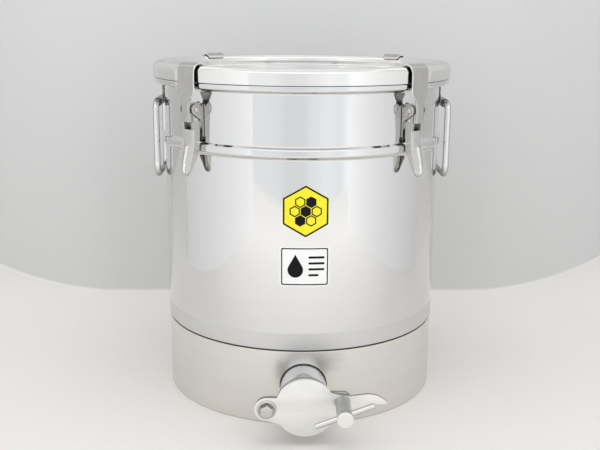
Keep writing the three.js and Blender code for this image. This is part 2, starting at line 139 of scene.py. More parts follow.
def bevel(obj, width, segments=2):
    mod = obj.modifiers.new("b", "BEVEL")
    mod.width = width * MM
    mod.segments = segments
    mod.limit_method = "ANGLE"
    mod.angle_limit = rad(30)
    return obj


def solidify(obj, thickness, offset=0.0):
    mod = obj.modifiers.new("s", "SOLIDIFY")
    mod.thickness = thickness * MM
    mod.offset = offset
    mod.use_even_offset = True
    return obj


def fillet(corners, closed=False, n=5):
    """Rounds a polyline of (x, y, corner radius); n steps to a corner."""
    points = [np.array(corner[:2], float) for corner in corners]
    count = len(points)
    out = []
    for i, point in enumerate(points):
        radius = corners[i][2]
        if not closed and i in (0, count - 1) or radius <= 0:
            out.append(tuple(point))
            continue
        back = points[i - 1] - point
        ahead = points[(i + 1) % count] - point
        back_len, ahead_len = np.linalg.norm(back), np.linalg.norm(ahead)
        back, ahead = back / back_len, ahead / ahead_len
        angle = math.acos(max(-1, min(1, float(back @ ahead))))
        if angle > math.pi - 0.02:
            out.append(tuple(point))
            continue
        cut = min(radius / math.tan(angle / 2), 0.48 * back_len, 0.48 * ahead_len)
        radius = cut * math.tan(angle / 2)
        bisector = (back + ahead) / np.linalg.norm(back + ahead)
        centre = point + bisector * (radius / math.sin(angle / 2))
        start = point + back * cut - centre
        end = point + ahead * cut - centre
        sweep = math.acos(max(-1, min(1, float(start @ end) / (radius * radius))))
        for k in range(n + 1):
            part = k / n
            spoke = math.sin((1 - part) * sweep) * start + math.sin(part * sweep) * end
            out.append(tuple(centre + spoke / math.sin(sweep)))
    return out


def subdivide(line, step):
    """Splits the runs of a polyline into pieces about one step long."""
    out = [line[0]]
    for (x0, y0), (x1, y1) in zip(line, line[1:]):
        count = max(1, int(math.hypot(x1 - x0, y1 - y0) / step))
        out += [(x0 + (x1 - x0) * k / count, y0 + (y1 - y0) * k / count)
                for k in range(1, count + 1)]
    return out


def turned(name, profile, seg, closed=True, origin=(0, 0, 0), axis="Z"):
    """Turns a profile of (radius, height) about an axis through origin; Y runs to the front."""
    verts, faces, rings = [], [], []
    for radius, height in profile:
        start = len(verts)
        if radius < 1e-6:
            verts.append((0, 0, height))
        else:
            for k in range(seg):
                angle = 2 * math.pi * k / seg
                verts.append((radius * math.sin(angle), -radius * math.cos(angle), height))
        rings.append(range(start, len(verts)))
    pairs = list(zip(rings, rings[1:]))
    if closed:
        pairs.append((rings[-1], rings[0]))
    for low, high in pairs:
        for k in range(seg):
            j = (k + 1) % seg
            if len(low) == 1:
                faces.append((low[0], high[k], high[j]))
            elif len(high) == 1:
                faces.append((low[k], high[0], low[j]))
            else:
                faces.append((low[k], high[k], high[j], low[j]))
    x, y, z = np.array(verts, float).T
    if axis == "Y":
        x, y, z = x, -z, y
    elif axis == "X":
        x, y, z = z, y, -x
    return tidy(obj_from(name, np.stack([x, y, z], 1) + np.array(origin, float), faces))


def loft(name, rows, drop=None, wrap=False, caps=False, weld=2e-6):
    """Quad sheet through rows of points. drop(i, j) leaves a face out."""
    size = len(rows[0])
    faces = []
    for i in range(len(rows) - 1):
        for j in range(size if wrap else size - 1):
            if drop and drop(i, j):
                continue
            k = (j + 1) % size
            faces.append((i * size + j, i * size + k, (i + 1) * size + k, (i + 1) * size + j))
    if caps:
        faces.append(tuple(range(size))[::-1])
        faces.append(tuple(range((len(rows) - 1) * size, len(rows) * size)))
    return tidy(obj_from(name, [p for row in rows for p in row], faces), weld)


# end rings of a rod: (shift along it, shrink of its radius), in chamfer sizes
ROD_START = [(0, 1), (0.35, 0.3), (1, 0)]
ROD_END = [(-1, 0), (-0.35, 0.3), (0, 1)]


def swept(name, path, radius, n, cap=0.8):
    """A round rod along a path of 3-D points, ends chamfered by cap."""
    path = [np.array(p, float) for p in path]
    last = len(path) - 1
    tangents = [path[min(i + 1, last)] - path[max(i - 1, 0)] for i in range(len(path))]
    tangents = [t / np.linalg.norm(t) for t in tangents]
    side = np.cross(tangents[0], (0.31, 0.95, 0.05))
    side /= np.linalg.norm(side)
    angles = [2 * math.pi * k / n for k in range(n)]
    rows = []
    for i, (point, tangent) in enumerate(zip(path, tangents)):
        side = side - tangent * (side @ tangent)
        side /= np.linalg.norm(side)
        other = np.cross(tangent, side)
        for shift, shrink in {0: ROD_START, last: ROD_END}.get(i, [(0, 0)]):
            centre = point + tangent * cap * shift
            ring_r = radius - cap * shrink
            rows.append([tuple(centre + ring_r * (math.cos(a) * side + math.sin(a) * other))
                         for a in angles])
    return loft(name, rows, wrap=True, caps=True, weld=0)


def triangulated(loops):
    return tessellate_polygon([[Vector((x, z, 0)) for x, z in loop] for loop in loops])


def prism(name, loops, y0, y1):
    """Outline and holes in (x, z), between distances y0 and y1 in front of the barrel axis."""
    tris = triangulated(loops)
    flat = [p for loop in loops for p in loop]
    n = len(flat)
    verts = [(x, -y0, z) for x, z in flat] + [(x, -y1, z) for x, z in flat]
    faces = [tuple(t) for t in tris] + [tuple(i + n for i in reversed(t)) for t in tris]
    base = 0
    for loop in loops:
        size = len(loop)
        for k in range(size):
            i, j = base + k, base + (k + 1) % size
            faces.append((i, j, j + n, i + n))
        base += size
    obj = tidy(obj_from(name, verts, faces))
    work = bmesh.new()
    work.from_mesh(obj.data)
    bmesh.ops.dissolve_limit(work, angle_limit=rad(0.5), verts=work.verts, edges=work.edges)
    work.to_mesh(obj.data)
    work.free()
    return obj


def side_plates(name, loops, inner, outer):
    """Two mirrored plates, outline in (radius, height), between two distances to each side."""
    plates = []
    for k, (near, far) in enumerate(((-outer, -inner), (inner, outer))):
        obj = prism(f"{name}_{k}", loops, 0.0, far - near)
        for v in obj.data.vertices:
            v.co = (near * MM - v.co.y, -v.co.x, v.co.z)
        plates.append(bake(bevel(tidy(obj), 0.28)))
    return plates


def merge(name, objs):
    """Several meshes as one object."""
    verts, faces = [], []
    for obj in objs:
        base = len(verts)
        verts += [tuple(v.co) for v in obj.data.vertices]
        faces += [tuple(base + i for i in p.vertices) for p in obj.data.polygons]
        bpy.data.objects.remove(obj)
    return obj_from(name, verts, faces, 1.0)


def arc(centre, radius, start, end, n):
    angles = [rad(start + (end - start) * k / n) for k in range(n + 1)]
    return [(centre[0] + radius * math.cos(a), centre[1] + radius * math.sin(a))
            for a in angles]


def circle(centre, radius, n):
    return arc(centre, radius, 0, 360, n)[:-1]


def angle_at(centre, point):
    return math.degrees(math.atan2(point[1] - centre[1], point[0] - centre[0]))


def leg(radius, other):
    """The second leg of a right triangle under a radius: depth of a cylinder, half a chord."""
    return math.sqrt(max(radius * radius - other * other, 0))


def lerp(table, x):
    return float(np.interp(x, *zip(*table)))


def smooth(t):
    t = max(0.0, min(1.0, t))
    return t * t * (3 - 2 * t)


def end_inset(rest, length, inset):
    """Rounds the corners of a strip: how much its half width draws in, rest from its end."""
    t = 1 - min(rest, length) / length
    return inset * (1 - math.sqrt(max(0.0, 1 - t ** 2)))


def move(obj, azimuth=0.0):
    """From the barrel frame to the product's frame, turned about the barrel axis."""
    obj.data.transform(Matrix.Translation((0, AXIS_M, 0)) @ Matrix.Rotation(rad(azimuth), 4, "Z"))
    return obj


def copy_at(obj, name, azimuth):
    twin = bpy.data.objects.new(name, obj.data.copy())
    bpy.context.scene.collection.objects.link(twin)
    return move(twin, azimuth)


def finish(obj, body, material, slot, *nodes):
    obj.data.materials.clear()
    obj.data.materials.append(bpy.data.materials[material])
    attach(obj, body)
    if nodes:
        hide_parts(*nodes)
    return obj


def paint(obj, material, test):
    """Gives a second material to the faces that pass the test."""
    obj.data.materials.append(bpy.data.materials[material])
    for face in obj.data.polygons:
        if test(face):
            face.material_index = 1


# ---------------------------------------------------------------- materials
class Shader:
    """Node tree of a material or world. Its calls add nodes and give back their outputs."""

    def __init__(self, owner, base="Principled BSDF"):
        owner.use_nodes = True
        self.tree = owner.node_tree
        self.base = self.tree.nodes[base]

    def feed(self, node, inputs):
        for key, value in inputs.items():
            socket = node.inputs[key]
            if hasattr(value, "links"):
                self.tree.links.new(value, socket)
            else:
                socket.default_value = (*value, 1) if socket.type == "RGBA" else value

    def set(self, inputs):
        self.feed(self.base, inputs)

    def node(self, kind, inputs, **settings):
        node = self.tree.nodes.new("ShaderNode" + kind)
        for key, value in settings.items():
            setattr(node, key, value)
        self.feed(node, inputs)
        return node

    def math(self, operation, *values):
        return self.node("Math", dict(enumerate(values)), operation=operation).outputs[0]

    def coords(self, kind="Object"):
        return self.node("TexCoord", {}).outputs[kind]

    def split(self, vector):
        return self.node("SeparateXYZ", {0: vector}).outputs

    def azimuth(self, x, y):
        """Angle from the front, in radians."""
        return self.math("ARCTAN2", x, self.math("MULTIPLY", y, -1.0))

    def unrolled(self):
        """Coordinates unrolled round the barrel: (arc length, height, radius), in metres."""
        x, y, z = self.split(self.coords())
        y = self.math("SUBTRACT", y, AXIS_M)
        squares = [self.math("MULTIPLY", c, c) for c in (x, y)]
        radius = self.math("SQRT", self.math("ADD", *squares))
        length = self.math("MULTIPLY", self.azimuth(x, y), BARREL_R * MM)
        return self.node("CombineXYZ", {0: length, 1: z, 2: radius}).outputs[0]

    def scaled(self, vector, scale):
        return self.node("Mapping", {"Vector": vector, "Scale": scale}).outputs[0]

    def noise(self, vector, scale, detail=2.0, rough=0.5):
        return self.node("TexNoise", {"Scale": scale, "Detail": detail, "Roughness": rough,
                                      "Vector": vector}).outputs["Fac"]

    def ramp(self, value, low, high, start=0.3, end=0.7):
        """Maps start..end to low..high."""
        return self.node("MapRange", {"Value": value, "From Min": start, "From Max": end,
                                      "To Min": low, "To Max": high}).outputs["Result"]

    def bump(self, height, distance, normal=None):
        inputs = {"Distance": distance, "Height": height}
        if normal is not None:
            inputs["Normal"] = normal
        return self.node("Bump", inputs).outputs[0]

    def mix(self, factor, first, second):
        return self.node("Mix", {0: factor, 6: first, 7: second}, data_type="RGBA").outputs[2]

    def dim(self, colour, factor):
        inputs = {0: colour, "Scale": factor}
        return self.node("VectorMath", inputs, operation="SCALE").outputs[0]


def new_surface(name):
    return Shader(bpy.data.materials.new(name))


# noise scales of the fine and the soft lines
GRAIN = {
    "round": ((6, 900, 900), (3, 120, 120)),       # round the barrel
    "fore": ((900, 12, 900), (330, 6, 330)),       # front to back
    "up": ((1400, 14, 1400), (260, 5, 260)),       # along the height
}
# name, colour, darker colour, roughness and its drift, grain ("free" has no direction),
# depth of the grain and of the sheet's waves in metres, scale of the mottling
STEELS = [
    ("bright_sheet", (0.725, 0.725, 0.722), (0.70, 0.70, 0.697), 0.065, 0.02, "round",
     1e-6, 4e-5, 14),
    ("bright_lid", (0.83, 0.825, 0.81), (0.79, 0.785, 0.77), 0.09, 0.03, "round",
     1.2e-6, 3e-5, 18),
    ("satin_sheet", (0.79, 0.772, 0.742), (0.73, 0.712, 0.682), 0.30, 0.06, "round",
     2.5e-6, 4e-5, 22),
    ("pressed_strap", (0.52, 0.508, 0.488), (0.46, 0.449, 0.43), 0.22, 0.05, "free", 2e-6, 0, 90),
    # near-white painted highlight along the lever finger's rib
    ("rib_painted_highlight", (0.985, 0.98, 0.97), (0.94, 0.935, 0.925), 0.12, 0.03, "free", 1.2e-6, 0, 90),
    # bright painted highlight on the hook strap's side edges
    ("strap_edge_painted_highlight", (0.93, 0.925, 0.91), (0.88, 0.875, 0.86), 0.14, 0.03, "free", 1.6e-6, 0, 90),
    ("pressed_lever", (0.60, 0.592, 0.575), (0.53, 0.522, 0.505), 0.15, 0.04, "free",
     1.6e-6, 0, 90),
    # dark colour, darkened further at grazing angles, paints in the shade on the handle leaf, its
    # edges and its curl round the rod
    ("handle_leaf", (0.36, 0.355, 0.345), (0.28, 0.277, 0.27), 0.2, 0.04, "free", 1.6e-6, 0, 90),
    ("bright_rod", (0.80, 0.80, 0.79), (0.74, 0.74, 0.73), 0.10, 0.03, "free", 1e-6, 0, 120),
    ("tumbled_plate", (0.87, 0.865, 0.85), (0.82, 0.815, 0.80), 0.36, 0.06, "free", 2.6e-6, 0, 70),
    # dark painted shade on the plates' side faces and chamfers
    ("plate_edge_painted_shade", (0.30, 0.295, 0.285), (0.22, 0.217, 0.21), 0.3, 0.05, "free", 2.6e-6, 0, 120),
    ("flange_plate", (0.64, 0.635, 0.625), (0.58, 0.575, 0.565), 0.33, 0.05, "free",
     2.6e-6, 0, 70),
    # the wide span from light to dark, streaked along the post, paints in reflection streaks
    ("post_steel", (0.86, 0.86, 0.845), (0.34, 0.338, 0.33), 0.2, 0.04, "fore", 4e-6, 0, 60),
    ("tommy_steel", (0.78, 0.775, 0.765), (0.70, 0.695, 0.685), 0.18, 0.04, "free",
     1.6e-6, 0, 120),
    ("tube_steel", (0.71, 0.718, 0.74), (0.63, 0.638, 0.66), 0.16, 0.04, "round", 1.6e-6, 0, 60),
    ("bolt_steel", (0.66, 0.655, 0.64), (0.58, 0.575, 0.56), 0.24, 0.05, "free", 2e-6, 0, 150),
    ("washer_steel", (0.60, 0.59, 0.56), (0.52, 0.51, 0.485), 0.28, 0.05, "free", 2e-6, 0, 150),
    ("seam_shadow", (0.13, 0.12, 0.11), (0.09, 0.083, 0.076), 0.6, 0.05, "round", 2e-6, 0, 60),
    # near-black painted shade for the junction of spout and skirt
    ("junction_painted_shade", (0.10, 0.098, 0.095), (0.05, 0.048, 0.046), 0.4, 0.08, "free", 1.2e-5, 0, 300),
    ("inside_sheet", (0.78, 0.775, 0.76), (0.73, 0.725, 0.71), 0.30, 0.05, "up", 2e-6, 3e-5, 20),
]
# painted shade: the colour darkens where the surface turns away from the view, standing in for
# dark reflections along edges and silhouettes; factor reached, and the facing range it grows over
GRAZING_PAINTED_SHADE = {
    "bright_lid": (0.5, 0.8, 0.97), "pressed_strap": (0.6, 0.78, 0.97),
    "pressed_lever": (0.5, 0.6, 0.95), "handle_leaf": (0.15, 0.4, 0.9),
    "bright_rod": (0.25, 0.2, 0.85), "post_steel": (0.4, 0.45, 0.95),
    "tommy_steel": (0.3, 0.15, 0.75), "bolt_steel": (0.4, 0.4, 0.9),
    "washer_steel": (0.4, 0.4, 0.9),
}
# a rougher ring of the sheet, its colour darkened by a factor: lower and upper height in metres,
# its roughness, colour factor
DULL_BAND = {"bright_sheet": (0.0962, 0.1175, 0.40, 0.955)}


def steel(name, light, dark, rough, spread, grain, relief, wave, mottle):
    """Stainless steel with tonal drift, fine grinding lines and roughness drift."""
    sh = new_surface(name)
    unrolled = sh.unrolled()
    if grain == "free":
        fine = sh.noise(unrolled, 2600.0, 3, 0.6)
        soft = sh.noise(unrolled, 420.0)
    else:
        vector = sh.coords() if grain == "fore" else unrolled
        fine_scale, soft_scale = GRAIN[grain]
        fine = sh.noise(sh.scaled(vector, fine_scale), 1.0, 3, 0.6)
        soft = sh.noise(sh.scaled(vector, soft_scale), 1.0)
    blotches = sh.noise(unrolled, mottle, 3, 0.55)
    drift = sh.math("ADD", sh.math("MULTIPLY", blotches, 0.6), sh.math("MULTIPLY", soft, 0.4))
    colour = sh.mix(sh.ramp(drift, 0, 1, 0.2, 0.8), dark, light)
    roughness = sh.ramp(drift, rough + spread, rough - spread * 0.5, 0.2, 0.8)
    lines = sh.math("MULTIPLY", sh.math("SUBTRACT", fine, 0.5), spread * 0.8)
    roughness = sh.math("MAXIMUM", sh.math("ADD", roughness, lines), 0.02)
    if name in GRAZING_PAINTED_SHADE:
        # painted shade: the colour goes darker at grazing view angles
        facing = sh.node("LayerWeight", {"Blend": 0.5}).outputs["Facing"]
        colour = sh.dim(colour, sh.ramp(facing, 1.0, *GRAZING_PAINTED_SHADE[name]))
    if name in DULL_BAND:
        low, high, band_rough, factor = DULL_BAND[name]
        z = sh.split(sh.coords())[2]
        mask = sh.math("MULTIPLY", sh.ramp(z, 0, 1, low - 0.0003, low),
                       sh.ramp(z, 1, 0, high, high + 0.0006))
        outside = sh.math("MULTIPLY", roughness, sh.math("SUBTRACT", 1.0, mask))
        roughness = sh.math("ADD", outside, sh.math("MULTIPLY", mask, band_rough))
        loss = sh.math("MULTIPLY", mask, 1 - factor)
        colour = sh.dim(colour, sh.math("SUBTRACT", 1.0, loss))
    normal = sh.bump(fine, relief)
    if wave:
        normal = sh.bump(sh.noise(sh.scaled(unrolled, (1, 1, 0.2)), 11.0, 1.5, 0.4), wave, normal)
    sh.set({"Metallic": 1.0, "Base Color": colour, "Roughness": roughness, "Normal": normal})


def rubber(name, colour):
    sh = new_surface(name)
    unrolled = sh.unrolled()
    drift = sh.ramp(sh.noise(unrolled, 220.0, 3, 0.6), 0, 1, 0.35, 0.65)
    sh.set({
        "Base Color": sh.mix(drift, tuple(c * 0.88 for c in colour), colour),
        "Roughness": sh.ramp(sh.noise(unrolled, 1500.0), 0.5, 0.68),
        "Normal": sh.bump(sh.noise(unrolled, 3000.0), 1.2e-5),
        "Subsurface Weight": 0.1,
        "Subsurface Radius": (0.002, 0.002, 0.002),
    })


def film(name, colour, rough=0.3, coat=0.25, specular=0.5):
    """Printed sticker film."""
    sh = new_surface(name)
    unrolled = sh.unrolled()
    drift = sh.ramp(sh.noise(unrolled, 160.0), 0, 1)
    sh.set({
        "Base Color": sh.mix(drift, tuple(c * 0.965 for c in colour), colour),
        "Roughness": sh.ramp(sh.noise(unrolled, 900.0), rough * 0.85, rough * 1.2),
        "Normal": sh.bump(sh.noise(unrolled, 2200.0), 4e-6),
        "Coat Weight": coat,
        "Coat Roughness": 0.12,
        "Specular IOR Level": specular,
    })


for row in STEELS:
    steel(*row)
rubber("gasket_silicone", (0.78, 0.77, 0.73))
film("film_yellow", (0.93, 0.84, 0.0))
film("film_white", (0.93, 0.93, 0.925))
film("film_black", (0.006, 0.006, 0.0065), rough=0.55, coat=0.0, specular=0.15)

# ---------------------------------------------------------------- barrel and skirt
# profiles here and below: radius, height, corner rounding
BEAD = [(0, 324.5, 0), (0, 327.6, 2.6), (4, 331.2, 3.4),      # first column: beyond the wall
        (4, 338.8, 3.4), (0, 342.4, 2.6), (0, 345.5, 0)]
BARREL_PROFILE = [
    (SPIGOT_R, 20, 0.3), (SPIGOT_R, 93.6, 0), (SPIGOT_R, 95.9, 0.3), (178.9, 95.9, 0.5),
    (179.75, 96.9, 0.6), (BARREL_R, 118.5, 2.0),
    *[(BARREL_R + out, z, rounding) for out, z, rounding in BEAD],
    # rolled rim
    (BARREL_R, 403.9, 3), (187.0, 404.9, 2), (192.75, 405.6, 2.6), (192.75, 411.9, 1.2),
    (191.2, 412.6, 0.4), (191, 416, 1.8), (181.6, 416, 1.8), (181, 411, 3),
    (BARREL_IN, 405.5, 3),
    *[(BARREL_R + out - BARREL_WALL, z, rounding) for out, z, rounding in BEAD[::-1]],
    (BARREL_IN, 99, 1), (SPIGOT_R - BARREL_WALL, 94, 1), (SPIGOT_R - BARREL_WALL, 20, 0.3),
]
SKIRT_WALL = 1.5
SKIRT_PROFILE = [
    (163, 0, 0.4), (SKIRT_R, 0, 1.6), (SKIRT_R, SKIRT_TOP - 1.5, 0.7),
    (SKIRT_IN, SKIRT_TOP - 1.5, 0.3), (SKIRT_IN, SKIRT_WALL, 0.6), (163, SKIRT_WALL, 0.4),
]


def radial_normals(obj, radii, tolerance=0.06):
    """Shades upright walls from their true cylinders, so a hole leaves no trace round it."""
    mesh = shade(obj, 32).data
    points = np.zeros(len(mesh.vertices) * 3, np.float32)
    mesh.vertices.foreach_get("co", points)
    points = points.reshape(-1, 3)
    normals = np.zeros(len(mesh.loops) * 3, np.float32)
    mesh.corner_normals.foreach_get("vector", normals)
    normals = normals.reshape(-1, 3)
    for face in mesh.polygons:
        if abs(face.normal.z) > 0.02:
            continue
        for loop in face.loop_indices:
            point = points[mesh.loops[loop].vertex_index]
            radius = math.hypot(point[0], point[1])
            if radius < 0.1:
                continue
            out = (point[0] / radius, point[1] / radius)
            along = out[0] * face.normal.x + out[1] * face.normal.y
            if abs(along) > 0.98 and any(abs(radius / MM - r) < tolerance for r in radii):
                sign = 1 if along > 0 else -1
                normals[loop] = (out[0] * sign, out[1] * sign, 0)
    mesh.normals_split_custom_set([tuple(n) for n in normals.tolist()])


barrel = turned("tank_barrel_sheet", fillet(BARREL_PROFILE, closed=True, n=6), 256)
skirt = turned("base_skirt_sheet", fillet(SKIRT_PROFILE, closed=True), 256)
hole_r = SPOUT_R + 0.35
cutter = turned("cut", [(0, 150), (hole_r, 150), (hole_r, 210), (0, 210)], 96, closed=False,
                origin=(0, 0, VALVE_Z), axis="Y")
for obj, radii in (
    (barrel, [BARREL_R, SPIGOT_R, BARREL_IN, SPIGOT_R - BARREL_WALL]),
    (skirt, [SKIRT_R, SKIRT_IN]),
):
    mod = obj.modifiers.new("hole", "BOOLEAN")
    mod.operation = "DIFFERENCE"
    mod.object = cutter
    mod.solver = "EXACT"
    radial_normals(tidy(bake(obj)), radii)
    move(obj)
bpy.data.objects.remove(cutter)


def in_seam(face):
    """The bottom of the seam above the skirt."""
    x, y, z = face.center
    return 0.0935 < z < 0.0962 and math.hypot(x, y - AXIS_M) < 0.1792


finish(barrel, "tank", "bright_sheet", "polished_steel", "tank_barrel")
paint(barrel, "seam_shadow", in_seam)
finish(skirt, "tank", "satin_sheet", "satin_steel", "base_skirt")

# these two keep the frame's shape
for node, material, slot in (("sloped_floor", "inside_sheet", "satin_steel"),
                             ("gate_seal", "gasket_silicone", "seal_rubber")):
    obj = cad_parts[node]
    obj.data.materials.clear()
    obj.data.materials.append(bpy.data.materials[material])

# ---------------------------------------------------------------- lid and gasket
LID_PROFILE = [
    (0, 415.5, 0), (179.3, 415.5, 0.8), (180, 417.5, 1.2), (180, 425.0, 3), (181.4, 427.9, 2),
    (183.6, 429.9, 2), (188.4, 430.2, 3), (191.8, 426.2, 3), (191.8, 412.8, 0.4),
    (193.3, 412.8, 0.5), (193.3, 427.0, 5), (190.2, 431.0, 5), (186.4, 432.1, 4),
    (182.5, 431.2, 5), (179.5, 427.9, 4), (178.5, 423.6, 4), (178.5, 417.6, 1.8),
    (176.6, 417, 1), (120, 417, 1), (0, 417.05, 0),
]
GASKET_PROFILE = [(182, 416.4, 1.2), (190.2, 416.4, 1.2), (190.9, 424.4, 2), (188, 428.6, 3),
                  (183.6, 428.8, 3), (180.8, 425, 2)]
lid = turned("lid_pressing", fillet(LID_PROFILE, n=7), 256, closed=False)
finish(move(shade(lid, 40)), "lid", "bright_lid", "polished_steel", "lid")
gasket = turned("lid_gasket_ring", fillet(GASKET_PROFILE, closed=True), 200)
finish(move(shade(gasket, 50)), "lid", "gasket_silicone", "seal_rubber", "lid_gasket")

# ---------------------------------------------------------------- latches
# built once at the front and copied round; side outlines: radius, height, corner rounding
CHEEK_OUTLINE = [
    (180.9, 366.5, 0), (182.6, 367.0, 1.0), (196.4, 377.4, 1.6), (197.5, 380.6, 3),
    (196.9, 384.4, 3), (194.4, 387.4, 3), (190.6, 388.6, 4), (186.8, 387.6, 3),
    (183.2, 385.0, 2), (180.9, 384.4, 0),
]


def make_bracket():
    """A foot that hugs the barrel, and two cheeks for the pivot."""
    bottom, top = 348.0, 388
    foot_r, half, corner = BARREL_R + 1.4, 11.4, 2.2
    rows = []
    for z in [bottom + 2 * i for i in range(21)]:
        width = half - end_inset(min(z - bottom, top - z), corner, corner)
        rows.append([(width * u, -leg(foot_r, width * u), z) for u in np.linspace(-1, 1, 13)])
    foot = bake(bevel(solidify(loft("bracket_foot", rows), 1.4), 0.25))
    outline = fillet(CHEEK_OUTLINE, closed=True, n=4)
    cheeks = side_plates("bracket_cheek", [outline, circle(PIN_A, PIN_HOLE_R, 24)], 10.1, 11.6)
    return merge("bracket_master", [foot] + cheeks)


# lever, from its low finger to its top: (height, radius) of the web and of the open edge
LEVER_WEB = [
    (302.9, 200.2), (304.5, 200.9), (306.5, 201.2), (309, 201.2), (313, 200.9), (320.5, 199.5),
    (330, 197.0), (338, 195.5), (343.5, 194.8), (346, 194.8), (358, 194.8), (378, 194.8),
    (381.3, 194.7), (383.6, 193.7), (385.4, 191.2),
]
LEVER_OPEN = [
    (302.9, 199.0), (304.5, 198.4), (307, 197.2), (312.5, 194.4), (320, 190.2), (328.5, 186.8),
    (333, 185.2), (343.5, 185.0), (350, 184.2), (366, 183.7), (381.3, 186.5), (383.6, 187.4),
    (385.4, 190.0),
]
TIP_Z, TIP_HALF = 309.6, 5.9              # below this height the finger is rounded off
LEVER_HALF = [(TIP_Z, TIP_HALF), (316, 6.6), (330, 7.6), (344, 8.2), (390, 8.2)]
LEVER_CORNER = [(303, 1.0), (312, 2.5), (336, 2.5), (346, 2.2), (357, 1.8), (360, 0.35)]


def lever_row(z):
    """One section of the channel, from one open edge over the web to the other."""
    web, inner = lerp(LEVER_WEB, z), lerp(LEVER_OPEN, z)
    if z > TIP_Z:
        half = lerp(LEVER_HALF, z)
    else:
        half = math.sqrt(max(0.3, TIP_HALF ** 2 - (TIP_HALF * (TIP_Z - z) / 6.7) ** 2))
    corner = min(lerp(LEVER_CORNER, z), half * 0.9, max(0.3, (web - inner) * 0.9))
    section = [(half, inner + (web - corner - inner) * k / 6) for k in range(7)]
    section += arc((half - corner, web - corner), corner, 0, 90, 8)[1:]
    crown = 0.25 + 0.9 * smooth((343 - z) / 7) * smooth((z - 302) / 6)
    rib = 0.75 * smooth((338.5 - z) / 2.0) * smooth((z - 305.5) / 4)
    for k in range(1, 10):
        x = (half - corner) * (1 - k / 9)
        bulge = crown * (1 - (1 - k / 9) ** 1.7)
        section.append((x, web + bulge + rib * smooth((2.6 - x) / 1.0)))
    section += [(-x, radius) for x, radius in reversed(section[:-1])]
    return [(x, -radius, z) for x, radius in section]


def make_lever():
    """A channel whose web is cut away for the hook above, running down to an arched finger."""
    heights = []
    z = 385.4
    while z > 303.2:
        heights.append(z)
        z -= 1.25 if 312 < z <= 378 else 0.7
    heights.append(303.1)
    rows = [lever_row(z) for z in heights]
    web_end = len(rows[0]) - 9
    lever = loft("lever_master", rows, drop=lambda i, j: heights[i] > 358.4 and 7 <= j <= web_end)
    return bake(bevel(solidify(lever, 1.35), 0.25))


def on_rib(face):
    """The raised rib of the finger, on a lever still at the front."""
    x, y, z = face.center / MM
    return (abs(x) < 2.0 and 306.5 < z < 338.0 and -y > lerp(LEVER_WEB, z) - 0.1
            and face.normal.y < 0)


STRAP_R = 196.7                           # upright run of the hook
BEND_R, BEND_Z = 9.8, 424.8               # the bend over the rim
STRAP_LINE = [(198.5, 366.7, 0), (198.5, 386.0, 16), (STRAP_R, 401.5, 16), (STRAP_R, BEND_Z, 0)]
TAIL_HALF, STRAP_HALF = 6.7, 14.3


def make_hook():
    """A strap bent over the rim, its narrow tail folded back to the pivot."""
    line = fillet(STRAP_LINE, n=8) + arc((STRAP_R - BEND_R, BEND_Z), BEND_R, 4, 152, 37)
    line.append((line[-1][0] - 0.573916, line[-1][1] - 1.131))    # short straight lip
    line = subdivide(line, 1.3)
    lengths = [0.0]
    for start, end in zip(line, line[1:]):
        lengths.append(lengths[-1] + math.hypot(end[0] - start[0], end[1] - start[1]))
    rows = []
    for (radius, z), rise in zip(line, lengths):
        rest = lengths[-1] - rise
        half = TAIL_HALF + (STRAP_HALF - TAIL_HALF) * smooth((rise - 20.5) / 17.5)
        half -= end_inset(rest, 4.0, 3.2)
        hollow = 0.45 * smooth((rise - 26) / 12) * smooth((rest - 24) / 10)
        fold = 1.3 * smooth((27 - rise) / 8)
        row = []
        for u in np.linspace(-1, 1, 23):
            edge = max(0.0, (abs(u) - 0.72) / 0.28)
            depth = radius + hollow * (abs(u) ** 3 - 0.25) - fold * edge ** 2
            row.append((half * u, -depth, z))
        rows.append(row)
    strap = bake(bevel(solidify(loft("hook_strap", rows), 1.8), 0.4, 3))
    outline = [(198.0, 366.9), *arc(PIN_B, 4.4, -45, -270, 18), (192.2, 374.2), (195.0, 378.5),
               (196.4, 388.6), (198.0, 389.4)]
    tails = side_plates("hook_tail", [outline, circle(PIN_B, PIN_HOLE_R, 24)], 5.7, 7.1)
    return merge("hook_master", [strap] + tails)


def make_rivet(name, pin, half, head_r, head_h):
    """A cross pin between domed heads; half is the half length under them."""
    shank_r = 1.9
    end = [(0, half + head_h, 0), (head_r * 0.7, half + head_h * 0.8, 0.8),
           (head_r, half + head_h * 0.15, 0.3), (head_r, half, 0.1), (shank_r, half, 0.05)]
    profile = fillet([(r, -h, rounding) for r, h, rounding in end] + end[::-1], n=4)
    return turned(name, profile, 40, closed=False, origin=(0, -pin[0], pin[1]), axis="X")


bracket = make_bracket()
lever = make_lever()
rib_faces = {face.index for face in lever.data.polygons if on_rib(face)}
hook = make_hook()
pin_a = make_rivet("pin_a_master", PIN_A, half=11.65, head_r=3.1, head_h=1.35)
pin_b = make_rivet("pin_b_master", PIN_B, half=8.95, head_r=2.5, head_h=0.95)
